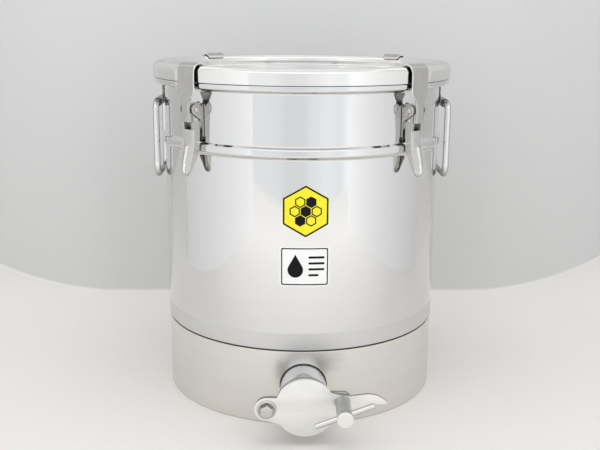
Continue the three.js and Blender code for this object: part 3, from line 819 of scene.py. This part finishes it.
# master, name, body, material, slot, node replaced, smoothing angle
LATCH_PARTS = (
    (bracket, "bracket", "tank", "pressed_strap", "pressed_steel", "latch_bracket", 35),
    (lever, "lever", "lever_{}", "pressed_lever", "pressed_steel", "latch_lever", 35),
    (hook, "hook", "hook_{}", "pressed_strap", "pressed_steel", "latch_hook", 35),
    (pin_a, "pivot_rivet", "tank", "bolt_steel", "turned_steel", "lever_pin", 40),
    (pin_b, "hook_rivet", "lever_{}", "bolt_steel", "turned_steel", "hook_pin", 40),
)
for key, azimuth in LATCH_AZ.items():
    sideways = Vector((math.cos(rad(azimuth)), math.sin(rad(azimuth)), 0))
    for master, name, body, material, slot, node, angle in LATCH_PARTS:
        obj = shade(copy_at(master, f"{name}_{key}", azimuth), angle)
        finish(obj, body.format(key), material, slot, f"{node}_{key}")
        if name == "lever":
            # the rib's faces get a near-white painted highlight
            paint(obj, "rib_painted_highlight", lambda face: face.index in rib_faces)
        elif name == "hook":
            # the strap's side edges over its wide part get a bright painted highlight
            paint(obj, "strap_edge_painted_highlight", lambda face: (abs(face.normal.dot(sideways)) > 0.8
                                                   and face.center.z > 0.385))
for obj in (bracket, lever, hook, pin_a, pin_b):
    bpy.data.objects.remove(obj)

# ---------------------------------------------------------------- drop handles
LEAF_R, LEAF_TOP, LEAF_HALF = 181.9, 403.4, 20.9
CURL_R = 5.15                             # the leaf's lower end, curled round the rod
BAIL_HALF, BAIL_DROP, BAIL_ROD = 45.0, 92.0, 4.0
SPOT_PROFILE = [(0, 0.55, 0), (2.2, 0.5, 0.8), (3.0, 0.1, 0.3), (3.1, -0.3, 0), (0, -0.3, 0)]


def make_leaf():
    path = [(LEAF_R, LEAF_TOP - (LEAF_TOP - 380) * k / 26) for k in range(27)]
    path += arc(BAIL, CURL_R, 182, 500, 53)
    rows = []
    for i, (radius, z) in enumerate(path):
        half = LEAF_HALF - end_inset(i, 4, 3.0)
        hug = smooth((z - 385) / 8)       # follows the barrel only above the curl
        rows.append([(half * u, -(radius - hug * (radius - leg(radius, half * u))), z)
                     for u in np.linspace(-1, 1, 25)])
    return bake(bevel(solidify(loft("hplate_master", rows), 1.4), 0.3))


def make_bail():
    radius, top = BAIL
    low = top - BAIL_DROP
    corners = [(1.0, top, 0), (BAIL_HALF, top, 8), (BAIL_HALF, low, 15),
               (-BAIL_HALF, low, 15), (-BAIL_HALF, top, 8), (-1.0, top, 0)]
    rail = subdivide(fillet(corners, n=12), 5)
    return swept("bail_master", [(x, -radius, z) for x, z in rail], BAIL_ROD, 32)


leaf = make_leaf()
bail = make_bail()
spots = [turned(f"spot_{x}", fillet(SPOT_PROFILE, n=4), 32, closed=False,
                origin=(x, -leg(182.62, x), 396.5), axis="Y") for x in (-14.5, 14.5)]
for key, azimuth in (("left", -90), ("right", 90)):
    obj = shade(copy_at(leaf, f"handle_leaf_{key}", azimuth), 35)
    # the leaf's dark colour is painted shade
    finish(obj, "tank", "handle_leaf", "pressed_steel", f"handle_plate_{key}")
    for i, spot in enumerate(spots):
        obj = shade(copy_at(spot, f"handle_rivet_{key}_{i}", azimuth), 40)
        finish(obj, "tank", "bolt_steel", "turned_steel")
    obj = shade(copy_at(bail, f"handle_rod_{key}", azimuth), 50)
    finish(obj, f"bail_{key}", "bright_rod", "turned_steel", f"handle_bail_{key}")
for obj in (leaf, bail, *spots):
    bpy.data.objects.remove(obj)

# ---------------------------------------------------------------- spout
tube = turned("spout_pipe", fillet([
    (SPOUT_BORE, 174.6, 0.3), (SPOUT_R, 174.6, 0.3), (SPOUT_R, FLANGE_BACK - 0.2, 0.3),
    (SPOUT_BORE, FLANGE_BACK - 0.2, 0.3)], closed=True, n=3), 128,
    origin=(0, 0, VALVE_Z), axis="Y")
finish(shade(move(tube), 40), "tank", "tube_steel", "turned_steel", "spout_tube")


def make_weld():
    """An uneven bead where the spout meets the skirt."""
    around = SPOUT_R + 0.3
    path = []
    for k in range(97):
        angle = 2 * math.pi * k / 96
        x = around * math.cos(angle)
        z = VALVE_Z + around * math.sin(angle)
        path.append((x, -math.sqrt(SKIRT_R ** 2 - x * x), z))
    rows = []
    for k in range(96):
        point = np.array(path[k])
        tangent = np.array(path[(k + 1) % 96]) - np.array(path[k - 1])
        tangent /= np.linalg.norm(tangent)
        out = np.array((point[0], 0, point[2] - VALVE_Z))
        out /= np.linalg.norm(out)
        ahead = np.cross(tangent, out)
        ripple = 1 + 0.10 * math.sin(k * math.pi / 2)
        bead_r = 0.55 * ripple * (1.0 + 0.3 * math.sin(2 * math.pi * k / 96))
        rows.append([tuple(point + bead_r * (math.cos(a) * out + math.sin(a) * ahead))
                     for a in np.linspace(0, 2 * math.pi, 13)[:-1]])
    rows.append(rows[0])
    return loft("spout_weld", rows, wrap=True)


# the weld bead is near-black: painted shade in the junction of spout and skirt
finish(shade(move(make_weld()), 60), "tank", "junction_painted_shade", "turned_steel")

# ---------------------------------------------------------------- flange and gate
FLANGE_R, PIVOT_EAR, STUD_EAR = 33, 13.4, 11.4
PIVOT_HOLE, STUD_HOLE = 4.4, 5.3
GATE = (0.8, VALVE_Z - 2.9)               # centre of the gate's disc
GATE_R, GATE_EAR = 35.4, 14.2
HORN_Z = 66.6                             # where the horn leaves the disc
SLOT_R = 2 * SPAN                         # the open slot for the stud, about the pivot
SLOT_HALF = 5.8


def flange_angle(side, z):
    """Direction of the flange's rim at a height; side is -1 for left, 1 for right."""
    return angle_at(VALVE, (side * leg(FLANGE_R, z - VALVE_Z), z))


def flange_outline():
    pivot_z, stud_z = PIVOT[1], STUD[1]
    return (arc(PIVOT, PIVOT_EAR, 270, 90, 24)
            + arc(VALVE, FLANGE_R, flange_angle(-1, pivot_z + PIVOT_EAR),
                  flange_angle(1, stud_z + STUD_EAR), 30)
            + arc(STUD, STUD_EAR, 90, -90, 22)
            + arc(VALVE, FLANGE_R, flange_angle(1, stud_z - STUD_EAR),
                  flange_angle(-1, pivot_z - PIVOT_EAR), 34))


def gate_outline():
    """A disc with an ear round the pivot, and a horn over the open slot for the stud."""
    ear_top, ear_low = PIVOT[1] + GATE_EAR, PIVOT[1] - GATE_EAR
    ear_join = (GATE[0] - leg(GATE_R, ear_top - GATE[1]), ear_top)
    horn_join = (GATE[0] + leg(GATE_R, HORN_Z - GATE[1]), HORN_Z)
    stud_angle = math.degrees(TILT)
    slot_up = arc(PIVOT, SLOT_R + SLOT_HALF, -1.2, stud_angle, 6)
    slot_cap = arc(STUD, SLOT_HALF, stud_angle, stud_angle + 180, 16)
    slot_down = arc(PIVOT, SLOT_R - SLOT_HALF, stud_angle, -6.5, 6)
    # x, z, corner rounding
    horn_top = fillet([
        (*horn_join, 0), (41, 63.9, 6), (53, 62.5, 14), (66, 64.1, 20), (75, 64.9, 18),
        (83, 63.4, 20), (90, 59.9, 30), (95.6, 54.9, 0)])
    horn_low = fillet([
        (95.6, 54.9, 0), (95.3, 52.4, 1.0), (90.5, 52.1, 3), (82, 52.3, 20), (70, 50.0, 20),
        (60, 46.8, 20), (*slot_up[0], 0)])
    low_start = (33.8, GATE[1] - leg(GATE_R, 33.8 - GATE[0]))
    # where the ear's lower edge meets the disc
    edge = [(PIVOT[0] + (-20 - PIVOT[0]) * f, ear_low + (24.4 - ear_low) * f)
            for f in np.linspace(0.4, 0.9, 2001)]
    low_end = min(edge, key=lambda p: abs(math.hypot(p[0] - GATE[0], p[1] - GATE[1]) - GATE_R))
    return (arc(PIVOT, GATE_EAR, 270, 90, 28)
            + arc(GATE, GATE_R, angle_at(GATE, ear_join), angle_at(GATE, horn_join), 40)[:-1]
            + horn_top + horn_low[1:] + slot_up[1:-1] + slot_cap + slot_down[1:]
            + arc(GATE, GATE_R, angle_at(GATE, low_start), angle_at(GATE, low_end), 40))


def on_edge(face):
    """Side faces and chamfers of a plate."""
    return abs(face.normal.y) < 0.96


def on_gate_edge(face):
    """As on_edge, but the sides along the disc's top stay plain, without the painted shade."""
    on_top = face.center.z / MM > 60 and abs(face.center.x / MM - GATE[0]) < 29
    return on_edge(face) and not (abs(face.normal.y) < 0.2 and on_top)


flange = prism("valve_flange_plate",
               [flange_outline(), circle(VALVE, SPOUT_BORE, 96), circle(PIVOT, PIVOT_HOLE, 32),
                circle(STUD, STUD_HOLE, 32)], FLANGE_BACK, FLANGE_BACK + PLATE)
shade(move(bake(bevel(flange, 0.35))), 30)
finish(flange, "tank", "flange_plate", "turned_steel", "valve_flange")
# the flange's side faces and chamfers get dark painted shade
paint(flange, "plate_edge_painted_shade", on_edge)

gate = prism("gate_swing_plate", [gate_outline(), circle(PIVOT, PIVOT_HOLE, 32)],
             GATE_BACK, GATE_FRONT)
shade(move(bake(bevel(gate, 0.45, 3))), 30)
finish(gate, "gate", "tumbled_plate", "turned_steel", "gate_plate")
# the gate's side faces and chamfers get dark painted shade, except along the disc's top
paint(gate, "plate_edge_painted_shade", on_gate_edge)

# ---------------------------------------------------------------- pivot bolt
PIVOT_AXIS = (PIVOT[0], 0, PIVOT[1])
# radius, distance in front of the gate, rounding
WASHER_PROFILE = [(PIVOT_HOLE, 0.3, 0.2), (11.3, 0.3, 0.3), (11.3, 1.2, 0.6), (9.6, 2.3, 0.9),
                  (7.9, 1.5, 0.8), (PIVOT_HOLE, 1.5, 0.2)]
HEX_FLATS = 13.0


def hexagonal(name, y0, y1, turn, chamfer, hole=0.0):
    """Hexagon prism on the pivot's axis, its corners turned off at the front end y1."""
    n = 96
    inner = HEX_FLATS / 2
    outer = inner / math.cos(math.pi / 6)

    def ring(y, limit):
        row = []
        for k in range(n):
            angle = 2 * math.pi * k / n
            off_flat = (angle - rad(turn)) % (math.pi / 3) - math.pi / 6
            radius = min(inner / math.cos(off_flat), limit)
            row.append((PIVOT[0] + radius * math.cos(angle), -y,
                        PIVOT[1] + radius * math.sin(angle)))
        return row

    rows = [ring(y, limit) for y, limit in (
        (y0, outer - 0.1), (y0 + 0.15, outer), (y1 - chamfer, outer),
        (y1 - chamfer * 0.55, outer - chamfer * 0.55), (y1 - chamfer * 0.2, inner * 1.005),
        (y1, inner * 0.955))]
    if hole:
        rows += [ring(y1, hole + 0.4), ring(y1 - 0.4, hole), ring(y0, hole), rows[0]]
        return loft(name, rows, wrap=True)
    rows = [ring(y0, 0.01), *rows, ring(y1, 3.0), ring(y1, 0.01)]
    return loft(name, rows, wrap=True, weld=3e-5)


washer = turned("pivot_washer_ring",
                fillet([(r, GATE_FRONT + y, rounding) for r, y, rounding in WASHER_PROFILE],
                       closed=True, n=4), 72, origin=PIVOT_AXIS, axis="Y")
finish(shade(move(washer), 40), "gate", "washer_steel", "turned_steel", "pivot_washer")
head = hexagonal("pivot_bolt_head", GATE_FRONT + 2.4, GATE_FRONT + 7.9, turn=24, chamfer=0.8)
finish(shade(move(head), 30), "tank", "bolt_steel", "turned_steel", "pivot_bolt")
shank = turned("pivot_bolt_shank", fillet([
    (0, FLANGE_BACK - 9.5, 0), (3.4, FLANGE_BACK - 9.5, 0.1), (4, FLANGE_BACK - 8.9, 0.1),
    (4, GATE_FRONT + 2.6, 0), (0, GATE_FRONT + 2.6, 0)], n=3), 40, closed=False,
    origin=PIVOT_AXIS, axis="Y")
finish(shade(move(shank), 30), "tank", "bolt_steel", "turned_steel")
nut = hexagonal("pivot_lock_nut", FLANGE_BACK - 7.0, FLANGE_BACK - 0.3, turn=10, chamfer=0.5,
                hole=4.3)
finish(shade(move(nut), 30), "tank", "bolt_steel", "turned_steel", "pivot_nut")

# ---------------------------------------------------------------- threaded stud and clamp
STUD_AXIS = (STUD[0], 0, STUD[1])
profile = [(0.0, FLANGE_BACK - 3.3), (7.2, FLANGE_BACK - 3.3), (7.5, FLANGE_BACK - 3.0),
           (7.5, FLANGE_BACK - 0.6), (7.2, FLANGE_BACK - 0.3), (5.0, FLANGE_BACK - 0.3),
           (5.0, FLANGE_BACK + 3.2)]
for y in np.arange(FLANGE_BACK + 3.4, 264.6, 1.5):    # one groove to a pitch
    profile += [(4.98, y), (4.35, y + 0.62), (4.35, y + 0.78), (4.98, y + 1.38)]
profile += [(4.3, 265.8), (0.0, 266)]
stud = turned("clamp_stud_thread", profile, 48, closed=False, origin=STUD_AXIS, axis="Y")
finish(shade(move(stud), 25), "tank", "bolt_steel", "turned_steel", "clamp_stud")

# radius, distance in front of the barrel axis, rounding
POST_PROFILE = [
    (5.3, 267.4, 0.1), (5.3, 237.0, 0.2), (8.6, 237.0, 0.3), (8.75, 237.5, 0.2),
    (8.9, 280.2, 0.6), (9.4, 281.4, 0.4), (9.4, 283.4, 0.3), (8.8, 284, 0.3), (0, 284, 0),
]
post = turned("clamp_post_body", [(0, 267.4)] + fillet(POST_PROFILE, n=4), 96, closed=False,
              origin=STUD_AXIS, axis="Y")
for v in post.data.vertices:              # six shallow lengthwise hollows
    x, z = v.co.x / MM - STUD[0], v.co.z / MM - STUD[1]
    if 8.6 < math.hypot(x, z) < 9.05 and 238 < -v.co.y / MM < 280.5:
        factor = 1 - 0.022 * max(0.0, math.cos(6 * math.atan2(z, x))) ** 3
        v.co.x = (STUD[0] + x * factor) * MM
        v.co.z = (STUD[1] + z * factor) * MM
# the post's light and dark streaks are painted reflections
finish(shade(move(post), 28), "clamp", "post_steel", "turned_steel", "clamp_post")
paint(post, "tumbled_plate", lambda face: face.normal.y < -0.5)

BAR_HALF, BAR_R, BAR_SLOPE = 35.2, 3.1, rad(20.8)
path = [(STUD[0] + s * math.cos(BAR_SLOPE), -273.0, STUD[1] + s * math.sin(BAR_SLOPE))
        for s in np.linspace(-BAR_HALF, BAR_HALF, 24)]
bar = swept("tommy_bar_rod", path, BAR_R, 36, cap=0.5)
finish(shade(move(bar), 35), "clamp", "tommy_steel", "turned_steel", "tommy_bar")

# ---------------------------------------------------------------- stickers
FILM = {"inner_r": BARREL_R + 0.02, "thickness": 0.22}
PRINT = {"inner_r": BARREL_R + 0.26, "thickness": 0.06}


def decal(name, parts, layer, material, slot, *nodes):
    """Wraps parts, lists of [outline, hole] in (arc length, height), round the barrel."""
    inner_r = layer["inner_r"]
    verts, faces = [], []
    for loops in parts:
        base = len(verts)
        verts += [(x, 0, z) for loop in loops for x, z in loop]
        faces += [tuple(base + i for i in tri) for tri in triangulated(loops)]
    obj = obj_from(name, verts, faces)
    work = bmesh.new()
    work.from_mesh(obj.data)
    bmesh.ops.remove_doubles(work, verts=work.verts, dist=1e-6)
    # upright cuts, so that the flat sheet can bend
    step = 0.0025
    xs = [v.co.x for v in work.verts]
    x = math.floor(min(xs) / step) * step
    while x < max(xs):
        geom = work.verts[:] + work.edges[:] + work.faces[:]
        bmesh.ops.bisect_plane(work, geom=geom, plane_co=(x, 0, 0), plane_no=(1, 0, 0), dist=1e-6)
        x += step
    for v in work.verts:
        angle = v.co.x / (inner_r * MM)
        v.co = (inner_r * MM * math.sin(angle), -inner_r * MM * math.cos(angle), v.co.z)
    work.normal_update()
    inward = []
    for face in work.faces:
        centre = face.calc_center_median()
        if face.normal.x * centre.x + face.normal.y * centre.y < 0:
            inward.append(face)
    bmesh.ops.reverse_faces(work, faces=inward)
    work.to_mesh(obj.data)
    work.free()
    solidify(obj, layer["thickness"], 1.0)
    finish(shade(move(bake(obj)), 40), "tank", material, slot, *nodes)


def hexagon(x, z, radius, rounding):
    return fillet([(x + radius * math.cos(rad(90 + 60 * k)),
                    z + radius * math.sin(rad(90 + 60 * k)), rounding) for k in range(6)],
                  closed=True, n=4)


def rounded_box(x0, x1, z0, z1, rounding):
    return fillet([(x0, z0, rounding), (x1, z0, rounding), (x1, z1, rounding),
                   (x0, z1, rounding)], closed=True)


# hexagonal sticker with a honeycomb print
HEX_X, HEX_Z, HEX_R = 1.2, 267.8, 31.0
CELL_R = 7.4
decal("sticker_hex_film", [[hexagon(HEX_X, HEX_Z, HEX_R, 1.2)]], FILM, "film_yellow",
      "label_yellow", "hex_label")
comb = [[hexagon(HEX_X, HEX_Z, HEX_R - 0.25, 1.0), hexagon(HEX_X, HEX_Z, HEX_R - 2.5, 0.8)[::-1]]]
pitch = CELL_R * math.sqrt(3)
centres = [(0, 0)] + [(pitch * math.cos(rad(60 * k)), pitch * math.sin(rad(60 * k)))
                      for k in range(6)]
for k, (x, z) in enumerate(centres):
    cell = [hexagon(HEX_X + x, HEX_Z + z, CELL_R - 0.5, 0.9)]
    if k not in (0, 2, 5):                # those three are solid
        cell.append(hexagon(HEX_X + x, HEX_Z + z, CELL_R - 2.1, 0.7)[::-1])
    comb.append(cell)
decal("sticker_hex_print", comb, PRINT, "film_black", "label_yellow")

# white sticker: a frame, a drop and four rules beside it
CARE_X, CARE_HALF, CARE_LOW, CARE_TOP = 0.4, 29.4, 177.0, 225.4
DROP_X, DROP_Z = CARE_X - 11, 200.5
RULES = ((212.5, 19), (205.3, 19), (198.1, 19), (190.9, 12))    # height, length


def care_box(inset, rounding):
    return rounded_box(CARE_X - CARE_HALF + inset, CARE_X + CARE_HALF - inset,
                       CARE_LOW + inset, CARE_TOP - inset, rounding)


decal("sticker_care_film", [[care_box(0, 3.0)]], FILM, "film_white", "label_white", "info_label")
prints = [[care_box(1.6, 2.0), care_box(3.0, 1.4)[::-1]],
          [[(DROP_X, DROP_Z + 15.5)] + arc((DROP_X, DROP_Z - 3.4), 9.2, 28, -208, 29)]]
for z, length in RULES:
    prints.append([rounded_box(CARE_X + 4.5, CARE_X + 4.5 + length, z - 1.3, z + 1.3, 1.0)])
decal("sticker_care_print", prints, PRINT, "film_black", "label_white")

# ---------------------------------------------------------------- stage, in metres
FLOOR_TONES = (0.80, 0.785, 0.755), (0.81, 0.795, 0.765)
WALL_PAINTED_FALLOFF = (0.655, 0.657, 0.655), (0.72, 0.72, 0.725)     # painted light falloff, darker at the floor and lighter higher up: tones at the floor, and 0.7 m up
FRONT_GLOW = 0.33                         # emission of the floor's front end
COVE_R = 0.006                            # rounding between floor and wall


def stage_sheet(name, rows):
    """Rows of (x, y from the barrel axis, z)."""
    return loft(name, [[(x * 1000, (AXIS_M + y) * 1000, z * 1000) for x, y, z in row]
                       for row in rows])


def sweep_row(x):
    """Floor and back wall at one x; the wall bends back to both sides."""
    wall = min(0.363 + 1.53 * max(0.0, abs(x) - 0.33) ** 1.6, 1.1)
    foot = wall - COVE_R
    row = [(-1.42, 0.0), (-1.0, 0.0), (-0.5, 0.0), (wall - 0.3, 0.0), (foot, 0.0)]
    row += [(foot + COVE_R * math.sin(rad(a)), COVE_R - COVE_R * math.cos(rad(a)))
            for a in range(15, 91, 15)]
    row += [(wall, 0.2), (wall, 0.5), (wall, 1.0), (wall, 2.2)]
    return [(x, y, z) for y, z in row]


columns = [-4, -3, -2] + [float(x) for x in np.linspace(-1.2, 1.2, 97)] + [2, 3, 4]
sweep = shade(stage_sheet("studio_sweep", [sweep_row(x) for x in columns]), 60)
paper = new_surface("studio_paper")
place = paper.coords()
_, y, z = paper.split(place)
upright = paper.ramp(z, 0, 1, 0.0005, 0.006)
floor_tone = paper.mix(paper.ramp(paper.noise(place, 3.0), 0, 1), *FLOOR_TONES)
# painted light falloff up the wall
wall_painted_falloff = paper.mix(paper.ramp(z, 0, 1, 0.0, 0.7), *WALL_PAINTED_FALLOFF)
glow = paper.ramp(y, FRONT_GLOW, 0.0, AXIS_M - 1.0, AXIS_M - 0.25)
paper.set({
    "Base Color": paper.mix(upright, floor_tone, wall_painted_falloff),
    "Roughness": 0.75,
    "Specular IOR Level": 0.2,
    "Emission Color": (1.0, 0.985, 0.96),
    "Emission Strength": paper.math("MULTIPLY", glow, paper.math("SUBTRACT", 1.0, upright)),
})
sweep.data.materials.append(bpy.data.materials["studio_paper"])
sweep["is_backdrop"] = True

# ---------------------------------------------------------------- world
# what the bright steel mirrors: degrees from the front, level, blue tint
WORLD = [
    (-170, 0.60, 0), (-119, 0.78, 0), (-106, 0.86, 0), (-91, 0.96, 0), (-78, 1.06, 0),
    (-65, 1.15, 0.005), (-54, 1.22, 0.01), (-43, 1.0, 0.015), (-30, 1.0, 0.02),
    (-21, 0.98, 0.02), (-12, 0.90, 0.02), (-1, 0.90, 0.015), (8, 1.0, 0.02), (19, 1.08, 0.02),
    (29, 1.04, 0.025), (39, 1.26, 0.03), (50, 1.18, 0.02), (61, 1.08, 0.015), (73, 0.96, 0),
    (87, 0.83, 0), (101, 0.72, 0), (119, 0.64, 0), (170, 0.60, 0),
]
HALF = 2                                  # levels are stored halved, the strength restores them
WORLD_GAIN = 1.04
CEILING, CEILING_FROM, CEILING_TO = 0.95, 0.25, 0.8    # level, and the rise of the view over it

world = bpy.data.worlds.new("studio")
bpy.context.scene.world = world
sky = Shader(world, "Background")
x, y, z = sky.split(sky.coords("Generated"))
turn = sky.math("ADD", sky.math("MULTIPLY", sky.azimuth(x, y), 0.5 / math.pi), 0.5)
ring = sky.node("ValToRGB", {0: turn})
ring.color_ramp.interpolation = "EASE"
stops = ring.color_ramp.elements
stops.remove(stops[-1])
stops[0].position = 0.0
stops[0].color = (0.4, 0.4, 0.4, 1)
for azimuth, level, tint in WORLD:
    half_level = level / HALF
    stops.new((azimuth + 180) / 360).color = (half_level * (1 - tint), half_level,
                                              half_level * (1 + tint), 1)
around = sky.mix(sky.ramp(z, 0, 1, CEILING_FROM, CEILING_TO), ring.outputs[0],
                 (CEILING / HALF,) * 3)
# a brighter band high up, seen only in reflections
band = sky.math("MULTIPLY", sky.ramp(z, 0, 1, 0.54, 0.62), sky.ramp(z, 1, 0, 0.76, 0.84))
glossy = sky.node("LightPath", {}).outputs["Is Glossy Ray"]
sky.set({"Color": sky.mix(sky.math("MULTIPLY", band, glossy), around, (0.8, 0.8, 0.8)),
         "Strength": HALF * WORLD_GAIN})

# ---------------------------------------------------------------- lights
top = bpy.data.lights.new("soft_top", "AREA")
top.energy = 7.0
top.shape = "RECTANGLE"
top.size = top.size_y = 1.2
lamp = bpy.data.objects.new("soft_top", top)
lamp.location = (0, AXIS_M - 0.3, 1.9)
aim = Vector((0, AXIS_M, 0.2)) - Vector((0, AXIS_M - 0.3, 1.9))
lamp.rotation_euler = aim.to_track_quat("-Z", "Y").to_euler()
lamp.visible_glossy = False
bpy.context.scene.collection.objects.link(lamp)


def panel(name, x, y_front, front_glow, back_glow):
    """Upright side wall of the light tent, brighter towards the front."""
    y_back, height = 0.12, 1.3
    obj = stage_sheet(name, [[(x, y, z) for z in np.linspace(0.002, height, 5)]
                             for y in np.linspace(y_front, y_back, 9)])
    sh = new_surface(name + "_paper")
    y = sh.split(sh.coords())[1]
    sh.set({
        "Base Color": (0.3, 0.3, 0.3),
        "Specular IOR Level": 0.0,
        "Emission Color": (0.985, 0.99, 1.0),
        "Emission Strength": sh.ramp(y, front_glow, back_glow, AXIS_M + y_front, AXIS_M + y_back),
    })
    obj.data.materials.append(bpy.data.materials[name + "_paper"])
    obj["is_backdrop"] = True


panel("tent_left", x=-0.74, y_front=-0.96, front_glow=0.90, back_glow=0.55)
panel("tent_right", x=0.74, y_front=-1.08, front_glow=0.95, back_glow=0.48)

# ---------------------------------------------------------------- camera
CAM_DISTANCE, CAM_HEIGHT = 1.188765, 0.488712    # from the barrel axis, above the floor
CAM_DOWN, CAM_ROLL, CAM_YAW = 0.2307, 0.0070, rad(1.4)
lens = bpy.data.cameras.new("camera")
lens.sensor_width = 36.0
lens.sensor_fit = "HORIZONTAL"
lens.lens = 53.39136
lens.shift_x = -0.00135
lens.clip_start = 0.01
lens.clip_end = 50
camera = bpy.data.objects.new("camera", lens)
camera.matrix_world = (
    Matrix.Translation((-CAM_DISTANCE * math.sin(CAM_YAW),
                        AXIS_M - CAM_DISTANCE * math.cos(CAM_YAW), CAM_HEIGHT))
    @ Matrix.Rotation(-CAM_YAW, 4, "Z")
    @ Matrix.Rotation(math.pi / 2 - CAM_DOWN, 4, "X")
    @ Matrix.Rotation(CAM_ROLL, 4, "Z"))
bpy.context.scene.collection.objects.link(camera)
bpy.context.scene.camera = camera
view = bpy.context.scene.view_settings
view.view_transform = "Standard"
view.look = "None"
view.exposure = 0.0
view.gamma = 1.0

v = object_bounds()
